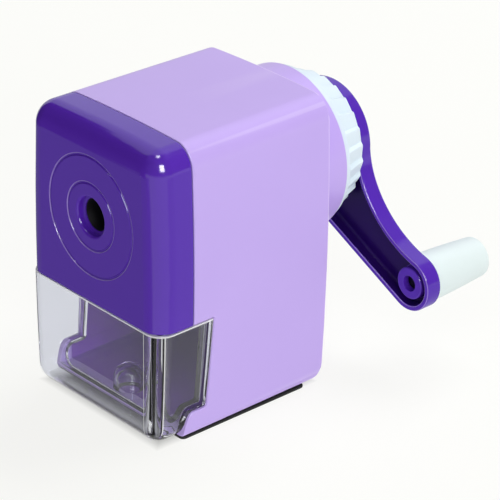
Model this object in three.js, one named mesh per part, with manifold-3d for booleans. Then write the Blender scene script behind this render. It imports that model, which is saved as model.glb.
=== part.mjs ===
// A desk pencil sharpener with a hand crank: a casing with a front cap and a clear drawer, and inside
// it a helical cutter that rolls round a fixed ring gear when the crank turns.
// Millimetres. +Z is up, the pencil goes in from -Y, the crank is at +Y. The origin is the middle of
// the underside of the base pad.
import * as THREE from "three";
import { mergeVertices } from "three/addons/utils/BufferGeometryUtils.js";
import Module from "manifold-3d";

const wasm = await Module();
wasm.setup();

// ---- Casing, cap and drawer -------------------------------------------------------------------
const BODY_WIDTH = 56.5; // across the flat part of the sides, at the front
const BODY_HEIGHT = 89.7; // from the desk to the top, at its side edges
const BODY_DEPTH = 64; // from the front face to the rear wall
const SIDE_BULGE = 1.07; // how far each side swells at mid height
const TOP_CROWN = 0.4; // how far the top swells at its middle
const WIDTH_DRAFT = 0.00039; // share of the width lost per mm towards the rear
const HEIGHT_DRAFT = 0.00007; // share of the height gained per mm towards the rear
const TOP_RADIUS = 7.2; // long top edges
const LOW_RADIUS = 1.5; // long bottom edges
const HEEL_RADIUS = 5; // bottom edge at the rear
const WALL = 2.2; // casing and cap
const FLOOR = 1.8; // casing floor
const CAP_DEPTH = 12.6; // front face to the seam round the casing
const CAP_FILLET = 6.6; // front edges of the cap
const DRAWER_ROOM = 4.2; // from the drawer's rim up to the barrel
const DRAWER_FILLET = 5.5; // front edges of the drawer
const DRAWER_WALL = 2;
const DRAWER_LIFT = 0.5; // clearance under the drawer
const CHEEK_DEPTH = 20.2; // drawer cheeks at their rim
const CHEEK_FOOT_DEPTH = 18.2; // drawer cheeks just above their step
const CHEEK_TOE_DEPTH = 9.6; // drawer cheeks at their underside
const CHEEK_STEP = 8.8; // height of the step in the cheeks
const CHEEK_LEDGE = 4.8; // run of the step before it curves down
const CHEEK_LAP = 1.4; // how far ahead of a cheek's end the web that joins it to the tray begins
const TRAY_REAR_ROOM = 4.3; // between the back of the tray and the rear wall
const TRAY_WALL = 1.4;
const TRAY_RADIUS = 6; // long bottom edges of the tray
const TRAY_DROP = 1.8; // tray walls stay this far under the drawer's rim
const DOME_RADIUS = 4.6; // domed stop on the tray floor
const DOME_HEIGHT = 9;
const DOME_SETBACK = 5; // from the tray's front edge to the dome's middle
const PAD_THICKNESS = 0.8;
const PAD_SETBACK = 1.6; // pad edge inside the casing's footprint
const GROOVE_WIDTH = 0.7; // two decorative rings in the cap's face
const GROOVE_DEPTH = 0.5;
const RING_RADII = [18, 10];
const MOUTH_STEP = 1.1; // the cap's flared hole is this much wider than the guide bore
const MOUTH_FLARE = 0.7;
const NUB_SIZE = [1.2, 0.6, 2.2]; // small moulding nubs on the rear wall
const NUB_HEIGHT = 42.4;
const NUB_INSET = 1;

// ---- Cutting mechanism ------------------------------------------------------------------------
const COLLAR_INSET = 2.95; // collar inside the casing's sides
const COLLAR_DROP = 1.3; // collar under the casing's top
const COLLAR_LENGTH = 10.1;
const COLLAR_WALL = 2.4;
const COLLAR_FILLET = 0.6;
const COUNTERBORE = 3.4; // recess for the rear bearing in the collar's end
const COUNTERBORE_LIP = 1; // step between collar bore and counterbore
const PENCIL_RADIUS = 4.7; // guide bore
const GUIDE_WALL = 1.2;
const GUIDE_FLANGE = [9.5, 1.6]; // radius and thickness
const BARREL_WALL = 1.8;
const PLATE_THICKNESS = 2; // front plate of the barrel
const PLATE_INSET = 1.9; // plate inside the casing's walls
const BARREL_PLATE_GAP = 0.4; // cap seam to plate
const LUG_RADIUS = 2.3; // screw lugs at the barrel's rear end
const LUG_LENGTH = 10;
const WINDOW_DROP = 8; // the chip window starts this far under the axis
const SCREW_RADIUS = 1.1;
const SCREW_HEAD = [2.2, 1.2]; // radius and thickness
const SCREW_LENGTH = 7;
const CAP_SCREW_INSET = 3.6; // from the plate's edges
const CAP_BOSS_RADIUS = 3;
const CONE_ANGLE = THREE.MathUtils.degToRad(10.5); // half angle of a sharpened point
const CONE_CLEARANCE = 0.5;
const CUTTER_RADIUS = 5;
const CUTTER_LENGTH = 26;
const CUTTER_FLUTES = 10;
const CUTTER_ROOM = 0.5; // round the cutter in its pocket
const FLUTE_DEPTH = 0.8;
const CUTTER_TWIST = THREE.MathUtils.degToRad(110);
const AXLE_RADIUS = 1.5;
const PINION_TEETH = 12;
const RING_TEETH = 45;
const PINION_WIDTH = 3.6;
const RING_OUTER_GAP = 0.3;
const CARRIER_RADIUS = 16.4;
const CARRIER_CORE_RADIUS = 12.5;
const DISC_THICKNESS = 3;
const CLIP_THICKNESS = 0.6;
const AXLE_SINK = 2.2; // how deep the cutter's axle sits in the rear disc
const NOSE_WALL = 1.3; // carrier nose round the pencil
const HUB_RADIUS = 7.5;
const HUB_LENGTH = 8.5;
const SHAFT_RADIUS = 3.5;
const SHAFT_BORE = 1.6;
const SHAFT_SINK = 1.8; // shaft behind the front of the carrier's hub
const SHAFT_SQUARE = 4.8; // across the flats of the squared end
const SHAFT_SQUARE_LENGTH = 3;
const ROD_RADIUS = 1.2; // point stop
const STOP_TRAVEL = 2;
const CROSS_PIN_RADIUS = 0.8;
const CROSS_PIN_LENGTH = 13;
const ROD_OVERRUN = 2.4; // stop rod behind its cross pin
const SET_SCREW_RADIUS = 1.2;
const BEARING_BOSS = [10, 4.4]; // radius and how far it reaches in front of the flange

// ---- Point dial, crank and grip ---------------------------------------------------------------
const DIAL_LENGTH = 10.9;
const DIAL_INSET = 1; // smooth rim inside the collar
const DIAL_RIM = 1.9; // thickness of the smooth rim
const DIAL_STEP = 1; // scalloped skirt inside the rim
const DIAL_TAPER = 2.9; // skirt's loss of radius towards the rear
const DIAL_SCALLOPS = 26;
const SCALLOP_DEPTH = 0.8;
const DIAL_WALL = 2;
const DIAL_HUB_RADIUS = 8.4;
const DIAL_TURN = THREE.MathUtils.degToRad(120);
const CAM_STEPS = 10; // short steps that make up a cam slot
const WASHER_RADIUS = 8;
const WASHER_THICKNESS = 0.8;
const RUNNING_GAP = 0.7; // dial to crank
const CRANK_REACH = 52.2; // crank axis to grip axis
const CRANK_ANGLE = THREE.MathUtils.degToRad(-40.6);
const ARM_THICKNESS = 5.6;
const ARM_FLOOR = 2;
const ARM_RIM = 1.6;
const ARM_FILLET = 0.8;
const ARM_EDGE_ANGLE = THREE.MathUtils.degToRad(153.7); // straight lower edge
const ARM_NECK_ANGLE = THREE.MathUtils.degToRad(75); // where the upper edge meets the grip end
const ARM_HUB_RADIUS = 17.1;
const ARM_END_RADIUS = 8.3;
const ARM_BOSS = [7.6, 8.2]; // front and rear radius of the boss on the shaft
const ARM_BOSS_RISE = 2.4; // rear boss above the arm
const GRIP_BOSS_RADIUS = 4.95;
const GRIP_BOSS_SINK = 0.6; // boss face under the arm's rim
const GRIP_HOLE_RADIUS = 2.4;
const GRIP_LENGTH = 22.6;
const GRIP_RADII = [7.4, 6.2];
const GRIP_FILLET = 1;
const GRIP_PIN_RADIUS = 1.5;
const GRIP_PIN_HEAD = 0.8; // thickness
const GRIP_END_WALL = 4; // solid end of the grip
const BARB = [0.4, 2]; // snap swelling on the grip pin: height and length
const CRANK_SCREW_RADIUS = 1.25;
const CRANK_SCREW_HEAD = [3.2, 1.4];
const CRANK_WEB = 1.4; // floor of the recess under the crank screw's head
const CAP_DISC_THICKNESS = 1.3;

// ---- Fits -------------------------------------------------------------------------------------
const GAP = 0.3; // faces that touch or run on each other
const SEAM = 0.35; // parting lines between the outer shells
const ROUND = 40; // sides of large turned pieces
const SMALL_ROUND = 20; // sides of pins, screws and bores

// ---- Places along Y, before the origin is moved to the pad ------------------------------------
const CASE_BOTTOM = PAD_THICKNESS + GAP;
const FLOOR_TOP = CASE_BOTTOM + FLOOR;
const TRAY_BOTTOM = FLOOR_TOP + SEAM;
const COLLAR_RADIUS = BODY_WIDTH / 2 - COLLAR_INSET;
const AXIS_HEIGHT = BODY_HEIGHT - COLLAR_DROP - COLLAR_RADIUS;
const COLLAR_END = BODY_DEPTH + COLLAR_LENGTH;
const COLLAR_BORE = COLLAR_RADIUS - COLLAR_WALL;
const COUNTERBORE_Y = COLLAR_END - COUNTERBORE;
const COUNTERBORE_RADIUS = COLLAR_BORE + COUNTERBORE_LIP;
const BARREL_RADIUS = COLLAR_BORE - GAP;
const BARREL_BORE = BARREL_RADIUS - BARREL_WALL;
const DRAWER_TOP = AXIS_HEIGHT - BARREL_RADIUS - DRAWER_ROOM;
const TRAY_DEPTH = BODY_DEPTH - WALL - TRAY_REAR_ROOM;
const MOUTH_RADIUS = PENCIL_RADIUS + MOUTH_STEP;
const NOSE_RADIUS = PENCIL_RADIUS + NOSE_WALL;
const PLATE_HALF_WIDTH = BODY_WIDTH / 2 - WALL - PLATE_INSET;
const PLATE_HALF_HEIGHT = BODY_HEIGHT - WALL - PLATE_INSET - AXIS_HEIGHT;
const PLATE_Y = CAP_DEPTH + BARREL_PLATE_GAP;
const PLATE_BACK = PLATE_Y + PLATE_THICKNESS;
const BARREL_END = COUNTERBORE_Y;
const LUG_ORBIT = BARREL_BORE + SCREW_RADIUS - LUG_RADIUS;
const PINION_REACH = 0.94 * CUTTER_RADIUS; // a little over the tilted pinion's tip radius
const PINION_HALF_ROOM = PINION_WIDTH / 2 + PINION_REACH * Math.sin(CONE_ANGLE);
const PINION_Y = PLATE_BACK + GAP + PINION_HALF_ROOM + CLIP_THICKNESS + GAP;
const DISC_Y = PINION_Y + PINION_HALF_ROOM + GAP;
const CUTTER_Y = DISC_Y + DISC_THICKNESS + GAP + CUTTER_RADIUS * Math.sin(CONE_ANGLE);
const CUTTER_END = CUTTER_Y + CUTTER_LENGTH * Math.cos(CONE_ANGLE);
const APEX_Y = CUTTER_END;
const REAR_DISC_Y = CUTTER_END + CUTTER_RADIUS * Math.sin(CONE_ANGLE) + GAP;
const HUB_Y = REAR_DISC_Y + DISC_THICKNESS;
const HUB_END = HUB_Y + HUB_LENGTH;
const SHAFT_START = HUB_Y + SHAFT_SINK;
const CUTTER_OFFSET = cutterOffsetAt(PINION_Y);
const GEAR_RATIO = RING_TEETH / PINION_TEETH;
const PINION_PITCH_RADIUS = CUTTER_OFFSET / (GEAR_RATIO - 1);
const RING_PITCH_RADIUS = PINION_PITCH_RADIUS * GEAR_RATIO;
const GEAR_MODULE = (2 * PINION_PITCH_RADIUS) / PINION_TEETH;
const RING_LENGTH = DISC_Y - GAP - (PLATE_BACK + GAP);
const FLANGE_Y = COUNTERBORE_Y + GAP;
const DIAL_Y = COLLAR_END + GAP;
const DIAL_END = DIAL_Y + DIAL_LENGTH;
const DIAL_RIM_RADIUS = COLLAR_RADIUS - DIAL_INSET;
const DIAL_FRONT_RADIUS = DIAL_RIM_RADIUS - DIAL_STEP;
const DIAL_REAR_RADIUS = DIAL_FRONT_RADIUS - DIAL_TAPER;
const ARM_Y = DIAL_END + RUNNING_GAP;
const ARM_BACK = ARM_Y + ARM_THICKNESS;
const BOSS_BACK = ARM_BACK + ARM_BOSS_RISE;
const SHAFT_END = ARM_Y + SHAFT_SQUARE_LENGTH;
const CRANK_RECESS_Y = SHAFT_END + GAP + CRANK_WEB;
const ROD_TIP_Y = CUTTER_END + STOP_TRAVEL - 0.1;
const CROSS_PIN_Y = DIAL_Y + DIAL_LENGTH / 2 + STOP_TRAVEL / 2;
const GRIP_Y = ARM_BACK + GAP;
const GRIP_CENTRE = polar(CRANK_REACH, CRANK_ANGLE);
const PAD_FRONT = CHEEK_TOE_DEPTH + 2 * SEAM;
const PAD_BACK = BODY_DEPTH - HEEL_RADIUS - PAD_SETBACK;
const ORIGIN_Y = (PAD_FRONT + PAD_BACK) / 2;

// ---- Small geometry helpers -------------------------------------------------------------------
function polar(radius, angle) {
  return new THREE.Vector2(radius * Math.cos(angle), radius * Math.sin(angle));
}

// Distance of the cutter's own axis from the crank axis at a place along Y.
function cutterOffsetAt(y) {
  return (APEX_Y - y) * Math.tan(CONE_ANGLE) + CUTTER_RADIUS / Math.cos(CONE_ANGLE);
}

function toSolid(geometry) {
  const bare = geometry.index ? geometry.toNonIndexed() : geometry.clone();
  bare.deleteAttribute("normal");
  bare.deleteAttribute("uv");
  const merged = mergeVertices(bare, 1e-4);
  const mesh = new wasm.Mesh({
    numProp: 3,
    vertProperties: new Float32Array(merged.attributes.position.array),
    triVerts: new Uint32Array(merged.index.array),
  });
  return new wasm.Manifold(mesh);
}

function toGeometry(solid) {
  const mesh = solid.getMesh();
  const geometry = new THREE.BufferGeometry();
  geometry.setAttribute("position", new THREE.BufferAttribute(mesh.vertProperties, 3));
  geometry.setIndex(new THREE.BufferAttribute(mesh.triVerts, 1));
  const faceted = geometry.toNonIndexed();
  faceted.computeVertexNormals();
  return faceted;
}

function joined(...solids) {
  return solids.reduce((whole, solid) => whole.add(solid));
}

function cut(solid, ...tools) {
  return tools.reduce((rest, tool) => rest.subtract(tool), solid);
}

// A shape drawn in (x, z), extruded from y0 to y1.
function alongY(shape, y0, y1, options = {}) {
  const settings = { depth: y1 - y0, bevelEnabled: false, curveSegments: 6, ...options };
  return new THREE.ExtrudeGeometry(shape, settings).rotateX(Math.PI / 2).translate(0, y1, 0);
}

// A shape drawn in (y, z), extruded across X from one side to the other.
function alongX(shape, halfWidth) {
  const settings = { depth: 2 * halfWidth, bevelEnabled: false, curveSegments: 5 };
  const turn = new THREE.Matrix4().makeBasis(
    new THREE.Vector3(0, 1, 0),
    new THREE.Vector3(0, 0, 1),
    new THREE.Vector3(1, 0, 0),
  );
  return new THREE.ExtrudeGeometry(shape, settings).translate(0, 0, -halfWidth).applyMatrix4(turn);
}

function box(x0, x1, y0, y1, z0, z1) {
  const geometry = new THREE.BoxGeometry(x1 - x0, y1 - y0, z1 - z0);
  return toSolid(geometry.translate((x0 + x1) / 2, (y0 + y1) / 2, (z0 + z1) / 2));
}

// A solid of revolution about Y, from [radius, y] points that start and end on the axis.
function turned(points, sides = ROUND) {
  const profile = points.map(([radius, y]) => new THREE.Vector2(radius, y));
  return toSolid(new THREE.LatheGeometry(profile, sides));
}

// A round bar or ring along Y, centred on x = 0, z = 0.
function bar(radius, y0, y1, sides = SMALL_ROUND) {
  return turned([[0, y0], [radius, y0], [radius, y1], [0, y1]], sides);
}

function tube(outer, inner, y0, y1, sides = SMALL_ROUND) {
  return cut(bar(outer, y0, y1, sides), bar(inner, y0 - 1, y1 + 1, sides));
}

// The same bar placed off the axis, in (x, z).
function barAt(place, radius, y0, y1, sides = SMALL_ROUND) {
  return bar(radius, y0, y1, sides).translate([place.x, 0, place.y]);
}

function lifted(solid) {
  return solid.translate([0, 0, AXIS_HEIGHT]);
}

// Moulding draft: the shells narrow a little and rise a little towards the rear.
function drafted(geometry) {
  const place = geometry.attributes.position;
  for (let i = 0; i < place.count; i += 1) {
    const y = place.getY(i);
    place.setX(i, place.getX(i) * (1 - WIDTH_DRAFT * y));
    place.setZ(i, place.getZ(i) * (1 + HEIGHT_DRAFT * y));
  }
  return geometry;
}

// ---- Outer shells -----------------------------------------------------------------------------
// The body's section seen from the front, shrunk by an inset, from a given bottom.
function bodySection(inset, bottom) {
  const half = BODY_WIDTH / 2 - inset;
  const top = BODY_HEIGHT - inset;
  const high = Math.max(TOP_RADIUS - inset, 0.6);
  const low = Math.max(LOW_RADIUS - inset, 0.6);
  const middle = (bottom + top) / 2;
  const shape = new THREE.Shape();
  shape.moveTo(-half + low, bottom);
  shape.lineTo(half - low, bottom);
  shape.absarc(half - low, bottom + low, low, -Math.PI / 2, 0, false);
  shape.quadraticCurveTo(half + 2 * SIDE_BULGE, middle, half, top - high);
  shape.absarc(half - high, top - high, high, 0, Math.PI / 2, false);
  shape.quadraticCurveTo(0, top + 2 * TOP_CROWN, -half + high, top);
  shape.absarc(-half + high, top - high, high, Math.PI / 2, Math.PI, false);
  shape.quadraticCurveTo(-half - 2 * SIDE_BULGE, middle, -half, bottom + low);
  shape.absarc(-half + low, bottom + low, low, Math.PI, 1.5 * Math.PI, false);
  return shape;
}

// A full-height front shell with rounded front edges, solid, back to a given depth.
function frontBlock(inset, bottom, fillet, depth) {
  const bevel = {
    bevelEnabled: true,
    bevelThickness: fillet,
    bevelSize: fillet,
    bevelSegments: 5,
  };
  const shape = bodySection(inset + fillet, bottom + fillet);
  const block = toSolid(drafted(alongY(shape, inset + fillet, depth, bevel)));
  return cut(block, box(-60, 60, depth, depth + 2 * fillet, -20, 140));
}

// Side view of everything in front of the line where the drawer's cheeks end.
function frontOfCheek(shift, top) {
  const toe = CHEEK_TOE_DEPTH + shift;
  const ledgeStart = CHEEK_FOOT_DEPTH - CHEEK_LEDGE + shift;
  const step = CHEEK_STEP - shift;
  const shape = new THREE.Shape();
  shape.moveTo(-20, -20);
  shape.lineTo(toe, -20);
  shape.lineTo(toe, 0);
  shape.quadraticCurveTo(toe + 1, step, ledgeStart, step);
  shape.lineTo(CHEEK_FOOT_DEPTH + shift - 1, step);
  shape.quadraticCurveTo(CHEEK_FOOT_DEPTH + shift, step, CHEEK_FOOT_DEPTH + shift, step + 1);
  shape.lineTo(CHEEK_DEPTH + shift, top);
  shape.lineTo(-20, top);
  return shape;
}

// Side view of the casing: flat top, the cap's seam, the drawer's cut-out and a rounded heel.
function casingSide() {
  const rear = BODY_DEPTH;
  const shape = new THREE.Shape();
  shape.moveTo(CAP_DEPTH + SEAM, -20);
  shape.lineTo(rear - HEEL_RADIUS, -20);
  shape.lineTo(rear - HEEL_RADIUS, CASE_BOTTOM);
  shape.absarc(rear - HEEL_RADIUS, CASE_BOTTOM + HEEL_RADIUS, HEEL_RADIUS, -Math.PI / 2, 0, false);
  shape.lineTo(rear, 140);
  shape.lineTo(CAP_DEPTH + SEAM, 140);
  return shape;
}

function collar() {
  const inside = BODY_DEPTH - WALL;
  const edge = COLLAR_RADIUS - COLLAR_FILLET;
  const round = [];
  for (let i = 0; i <= 3; i += 1) {
    const angle = (i / 3) * (Math.PI / 2);
    const reach = COLLAR_FILLET * Math.cos(angle);
    round.push([edge + reach, COLLAR_END - COLLAR_FILLET + COLLAR_FILLET * Math.sin(angle)]);
  }
  return lifted(turned([[0, inside], [COLLAR_RADIUS, inside], ...round, [0, COLLAR_END]]));
}

function casing() {
  const side = toSolid(alongX(casingSide(), BODY_WIDTH));
  const toe = toSolid(alongX(lowerFront(), BODY_WIDTH));
  const outer = toSolid(drafted(alongY(bodySection(0, CASE_BOTTOM), 0, BODY_DEPTH + 1)));
  const cavityShape = bodySection(WALL, FLOOR_TOP);
  const cavity = toSolid(drafted(alongY(cavityShape, -1, BODY_DEPTH - WALL)));
  const opening = toSolid(alongX(frontOfCheek(SEAM, DRAWER_TOP + SEAM), BODY_WIDTH));
  const shell = outer.intersect(side.add(toe)).subtract(cavity).subtract(opening);
  const bore = lifted(bar(COLLAR_BORE, 0, COLLAR_END + 1, ROUND));
  const counterbore = lifted(bar(COUNTERBORE_RADIUS, COUNTERBORE_Y, COLLAR_END + 1, ROUND));
  const nubs = [-1, 1].map(rearNub);
  return cut(joined(shell, collar(), ...nubs), bore.subtract(frontSpace()), counterbore);
}

// The strip of casing floor in front of the cap's seam.
function lowerFront() {
  const shape = new THREE.Shape();
  shape.moveTo(0, -20);
  shape.lineTo(CAP_DEPTH + 2 * SEAM, -20);
  shape.lineTo(CAP_DEPTH + 2 * SEAM, DRAWER_TOP);
  shape.lineTo(0, DRAWER_TOP);
  return shape;
}

// Everything well in front of the rear wall, so that the collar's bore only opens the wall.
function frontSpace() {
  return box(-60, 60, -20, BODY_DEPTH - 2 * WALL, -20, 140);
}

function rearNub(side) {
  const x = side * (BODY_WIDTH / 2 - NUB_INSET - NUB_SIZE[0]);
  const half = NUB_SIZE[0] / 2;
  const y0 = BODY_DEPTH - WALL / 2;
  const z0 = NUB_HEIGHT - NUB_SIZE[2] / 2;
  return box(x - half, x + half, y0, BODY_DEPTH + NUB_SIZE[1], z0, z0 + NUB_SIZE[2]);
}

function capScrewPlaces() {
  const x = PLATE_HALF_WIDTH - CAP_SCREW_INSET;
  const z = PLATE_HALF_HEIGHT - CAP_SCREW_INSET;
  return [[-x, -z], [x, -z], [-x, z], [x, z]].map(([a, b]) => new THREE.Vector2(a, b));
}

function grooves() {
  return RING_RADII.map((radius) =>
    tube(radius + GROOVE_WIDTH / 2, radius - GROOVE_WIDTH / 2, -1, GROOVE_DEPTH, ROUND),
  );
}

function frontCap() {
  const outer = frontBlock(0, CASE_BOTTOM, CAP_FILLET, CAP_DEPTH);
  const inner = frontBlock(WALL, CASE_BOTTOM, CAP_FILLET - WALL, CAP_DEPTH + 1);
  const below = box(-60, 60, -20, 60, -20, DRAWER_TOP + SEAM);
  const bosses = capScrewPlaces().map((place) =>
    barAt(place, CAP_BOSS_RADIUS, WALL / 2, PLATE_Y - GAP),
  );
  const pilots = capScrewPlaces().map((place) =>
    barAt(place, SCREW_RADIUS + GAP, PLATE_Y - SCREW_LENGTH, PLATE_Y + 1),
  );
  const mouth = turned([
    [0, -1],
    [MOUTH_RADIUS + MOUTH_FLARE + 1, -1],
    [MOUTH_RADIUS + MOUTH_FLARE, 0],
    [MOUTH_RADIUS, MOUTH_FLARE],
    [MOUTH_RADIUS, WALL + 1],
    [0, WALL + 1],
  ]);
  const shell = cut(outer, inner, below);
  const fitted = joined(shell, ...bosses.map(lifted));
  return cut(fitted, ...[mouth, ...grooves(), ...pilots].map(lifted));
}

// The tray's U section, shrunk by an inset.
function traySection(inset, top) {
  const half = BODY_WIDTH / 2 - WALL - SEAM - WIDTH_DRAFT * BODY_DEPTH * BODY_WIDTH / 2 - inset;
  const radius = TRAY_RADIUS - inset;
  const bottom = TRAY_BOTTOM + inset;
  const shape = new THREE.Shape();
  shape.moveTo(-half, top);
  shape.lineTo(-half, bottom + radius);
  shape.absarc(-half + radius, bottom + radius, radius, Math.PI, 1.5 * Math.PI, false);
  shape.lineTo(half - radius, bottom);
  shape.absarc(half - radius, bottom + radius, radius, -Math.PI / 2, 0, false);
  shape.lineTo(half, top);
  return shape;
}

function drawer() {
  const top = DRAWER_TOP;
  const rim = top + 1;
  const outer = frontBlock(0, DRAWER_LIFT, DRAWER_FILLET, CHEEK_DEPTH + 5);
  const inner = frontBlock(DRAWER_WALL, DRAWER_LIFT + DRAWER_WALL, DRAWER_FILLET - DRAWER_WALL, 40);
  const front = toSolid(alongX(frontOfCheek(0, top), BODY_WIDTH));
  const webBack = toSolid(alongX(frontOfCheek(-CHEEK_LAP + TRAY_WALL, rim), BODY_WIDTH));
  const webFront = toSolid(alongX(frontOfCheek(-CHEEK_LAP, rim), BODY_WIDTH));
  const shell = outer.subtract(inner).intersect(front);
  const web = outer.intersect(webBack).subtract(webFront).subtract(box(-60, 60, -20, 60, top, 140));
  const tray = toSolid(alongY(traySection(0, top - TRAY_DROP), 0, TRAY_DEPTH)).subtract(webFront);
  const hollow = toSolid(alongY(traySection(TRAY_WALL, 2 * top), -10, TRAY_DEPTH - TRAY_WALL));
  const domeY = CHEEK_TOE_DEPTH + DOME_SETBACK;
  const dome = domeSolid(DOME_RADIUS, DOME_HEIGHT, domeY, TRAY_BOTTOM);
  const domeHollow = domeSolid(DOME_RADIUS - TRAY_WALL, DOME_HEIGHT - TRAY_WALL, domeY, TRAY_BOTTOM - 1);
  return cut(joined(shell, cut(web.add(tray), hollow), dome), domeHollow);
}

// An upright post with a half-round top.
function domeSolid(radius, height, y, bottom) {
  const points = [[0, bottom], [radius, bottom]];
  for (let i = 0; i <= 5; i += 1) {
    const angle = (i / 5) * (Math.PI / 2);
    const z = bottom + height - radius + radius * Math.sin(angle);
    points.push([i === 5 ? 0 : radius * Math.cos(angle), z]);
  }
  return turned(points, SMALL_ROUND).rotate([90, 0, 0]).translate([0, y, 0]);
}

function basePad() {
  const half = BODY_WIDTH / 2 - PAD_SETBACK / 2;
  const radius = LOW_RADIUS;
  const shape = new THREE.Shape();
  shape.moveTo(-half + radius, PAD_FRONT);
  shape.lineTo(half - radius, PAD_FRONT);
  shape.absarc(half - radius, PAD_FRONT + radius, radius, -Math.PI / 2, 0, false);
  shape.lineTo(half, PAD_BACK - radius);
  shape.absarc(half - radius, PAD_BACK - radius, radius, 0, Math.PI / 2, false);
  shape.lineTo(-half + radius, PAD_BACK);
  shape.absarc(-half + radius, PAD_BACK - radius, radius, Math.PI / 2, Math.PI, false);
  shape.lineTo(-half, PAD_FRONT + radius);
  shape.absarc(-half + radius, PAD_FRONT + radius, radius, Math.PI, 1.5 * Math.PI, false);
  const settings = { depth: PAD_THICKNESS, bevelEnabled: false, curveSegments: 4 };
  return toSolid(new THREE.ExtrudeGeometry(shape, settings));
}

// ---- Mechanism --------------------------------------------------------------------------------
function pencilGuide() {
  const [flangeRadius, flangeThickness] = GUIDE_FLANGE;
  const y0 = WALL + GAP;
  const flange = bar(flangeRadius, y0, y0 + flangeThickness, ROUND);
  const sleeve = bar(PENCIL_RADIUS + GUIDE_WALL, y0, PLATE_Y - GAP, ROUND);
  return cut(flange.add(sleeve), bar(PENCIL_RADIUS, -1, PLATE_Y + 1, ROUND));
}

function lugPlaces() {
  return [90, 210, 330].map((degrees) => polar(LUG_ORBIT, THREE.MathUtils.degToRad(degrees)));
}

function barrel() {
  const w = PLATE_HALF_WIDTH;
  const h = PLATE_HALF_HEIGHT;
  const plate = box(-w, w, PLATE_Y, PLATE_BACK, -h, h);
  const pipe = tube(BARREL_RADIUS, BARREL_BORE, (PLATE_Y + PLATE_BACK) / 2, BARREL_END, ROUND);
  const bearing = bar(NOSE_RADIUS + GAP, 0, PLATE_BACK + 1, ROUND);
  const windowStart = DISC_Y + DISC_THICKNESS;
  const window = box(-40, 40, windowStart, BARREL_END - LUG_LENGTH, -40, -WINDOW_DROP);
  const lugs = lugPlaces().map((place) => barAt(place, LUG_RADIUS, BARREL_END - LUG_LENGTH, BARREL_END));
  const pilots = lugPlaces().map((place) =>
    barAt(place, SCREW_RADIUS + GAP, BARREL_END - SCREW_LENGTH, BARREL_END + 1),
  );
  const holes = capScrewPlaces().map((place) => barAt(place, SCREW_RADIUS + GAP, 0, PLATE_BACK + 1));
  return cut(joined(plate, pipe, ...lugs), bearing, window, ...pilots, ...holes);
}

// A gear's outline: straight-sided teeth, root and tip radius, tooth widths at root and tip.
function toothedOutline(teeth, root, tip, rootWidth, tipWidth, phase) {
  const points = [];
  for (let i = 0; i < teeth; i += 1) {
    const middle = phase + (i * 2 * Math.PI) / teeth;
    points.push(polar(root, middle - rootWidth / 2 / root));
    points.push(polar(tip, middle - tipWidth / 2 / tip));
    points.push(polar(tip, middle + tipWidth / 2 / tip));
    points.push(polar(root, middle + rootWidth / 2 / root));
  }
  return points;
}

function ringGear() {
  const tip = RING_PITCH_RADIUS - 0.5 * GEAR_MODULE;
  const root = RING_PITCH_RADIUS + 1.7 * GEAR_MODULE;
  const pitch = Math.PI * GEAR_MODULE;
  const phase = Math.PI / 2 + Math.PI / RING_TEETH;
  const inside = new THREE.Shape(toothedOutline(RING_TEETH, root, tip, 0.55 * pitch, 0.24 * pitch, phase));
  const y0 = PLATE_BACK + GAP;
  const disc = bar(BARREL_BORE - RING_OUTER_GAP, y0, y0 + RING_LENGTH, ROUND);
  return disc.subtract(toSolid(alongY(inside, y0 - 1, y0 + RING_LENGTH + 1)));
}

// Pinion, cutter, axle and clip are made along their own axis, with y = 0 at the pinion's middle.
function pinion() {
  const tip = PINION_PITCH_RADIUS + 0.75 * GEAR_MODULE;
  const root = PINION_PITCH_RADIUS - 1.3 * GEAR_MODULE;
  const pitch = Math.PI * GEAR_MODULE;
  const outline = toothedOutline(PINION_TEETH, root, tip, 0.6 * pitch, 0.2 * pitch, Math.PI / 2);
  const half = PINION_WIDTH / 2;
  const body = toSolid(alongY(new THREE.Shape(outline), -half, half));
  return body.subtract(bar(AXLE_RADIUS + GAP, -9, 9));
}

function alongCutterAxis(y) {
  return (y - PINION_Y) / Math.cos(CONE_ANGLE);
}

function cutter() {
  const points = [];
  for (let i = 0; i < CUTTER_FLUTES; i += 1) {
    const start = (i * 2 * Math.PI) / CUTTER_FLUTES;
    const pitch = (2 * Math.PI) / CUTTER_FLUTES;
    points.push(polar(CUTTER_RADIUS, start));
    points.push(polar(CUTTER_RADIUS, start + 0.12 * pitch));
    points.push(polar(CUTTER_RADIUS - FLUTE_DEPTH, start + 0.45 * pitch));
    points.push(polar(CUTTER_RADIUS - FLUTE_DEPTH, start + 0.92 * pitch));
  }
  const y0 = alongCutterAxis(CUTTER_Y);
  const geometry = alongY(new THREE.Shape(points), y0, y0 + CUTTER_LENGTH, { steps: 12 });
  const place = geometry.attributes.position;
  for (let i = 0; i < place.count; i += 1) {
    const turn = ((place.getY(i) - y0) / CUTTER_LENGTH) * CUTTER_TWIST;
    const x = place.getX(i);
    const z = place.getZ(i);
    place.setX(i, x * Math.cos(turn) - z * Math.sin(turn));
    place.setZ(i, x * Math.sin(turn) + z * Math.cos(turn));
  }
  return toSolid(geometry).subtract(bar(AXLE_RADIUS + GAP, y0 - 1, y0 + CUTTER_LENGTH + 1));
}

function axleEnds() {
  const clipFront = -PINION_WIDTH / 2 - GAP - CLIP_THICKNESS;
  return { front: clipFront, rear: alongCutterAxis(REAR_DISC_Y + AXLE_SINK) };
}

function axle() {
  const { front, rear } = axleEnds();
  return bar(AXLE_RADIUS, front, rear);
}

function axleClip() {
  const { front } = axleEnds();
  return tube(AXLE_RADIUS * 1.9, AXLE_RADIUS + GAP, front, front + CLIP_THICKNESS);
}

// Moves a tool from the cutter's own axis to the crank axis frame.
function tilted(solid) {
  const degrees = THREE.MathUtils.radToDeg(-CONE_ANGLE);
  return solid.rotate([degrees, 0, 0]).translate([0, PINION_Y, CUTTER_OFFSET]);
}

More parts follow.
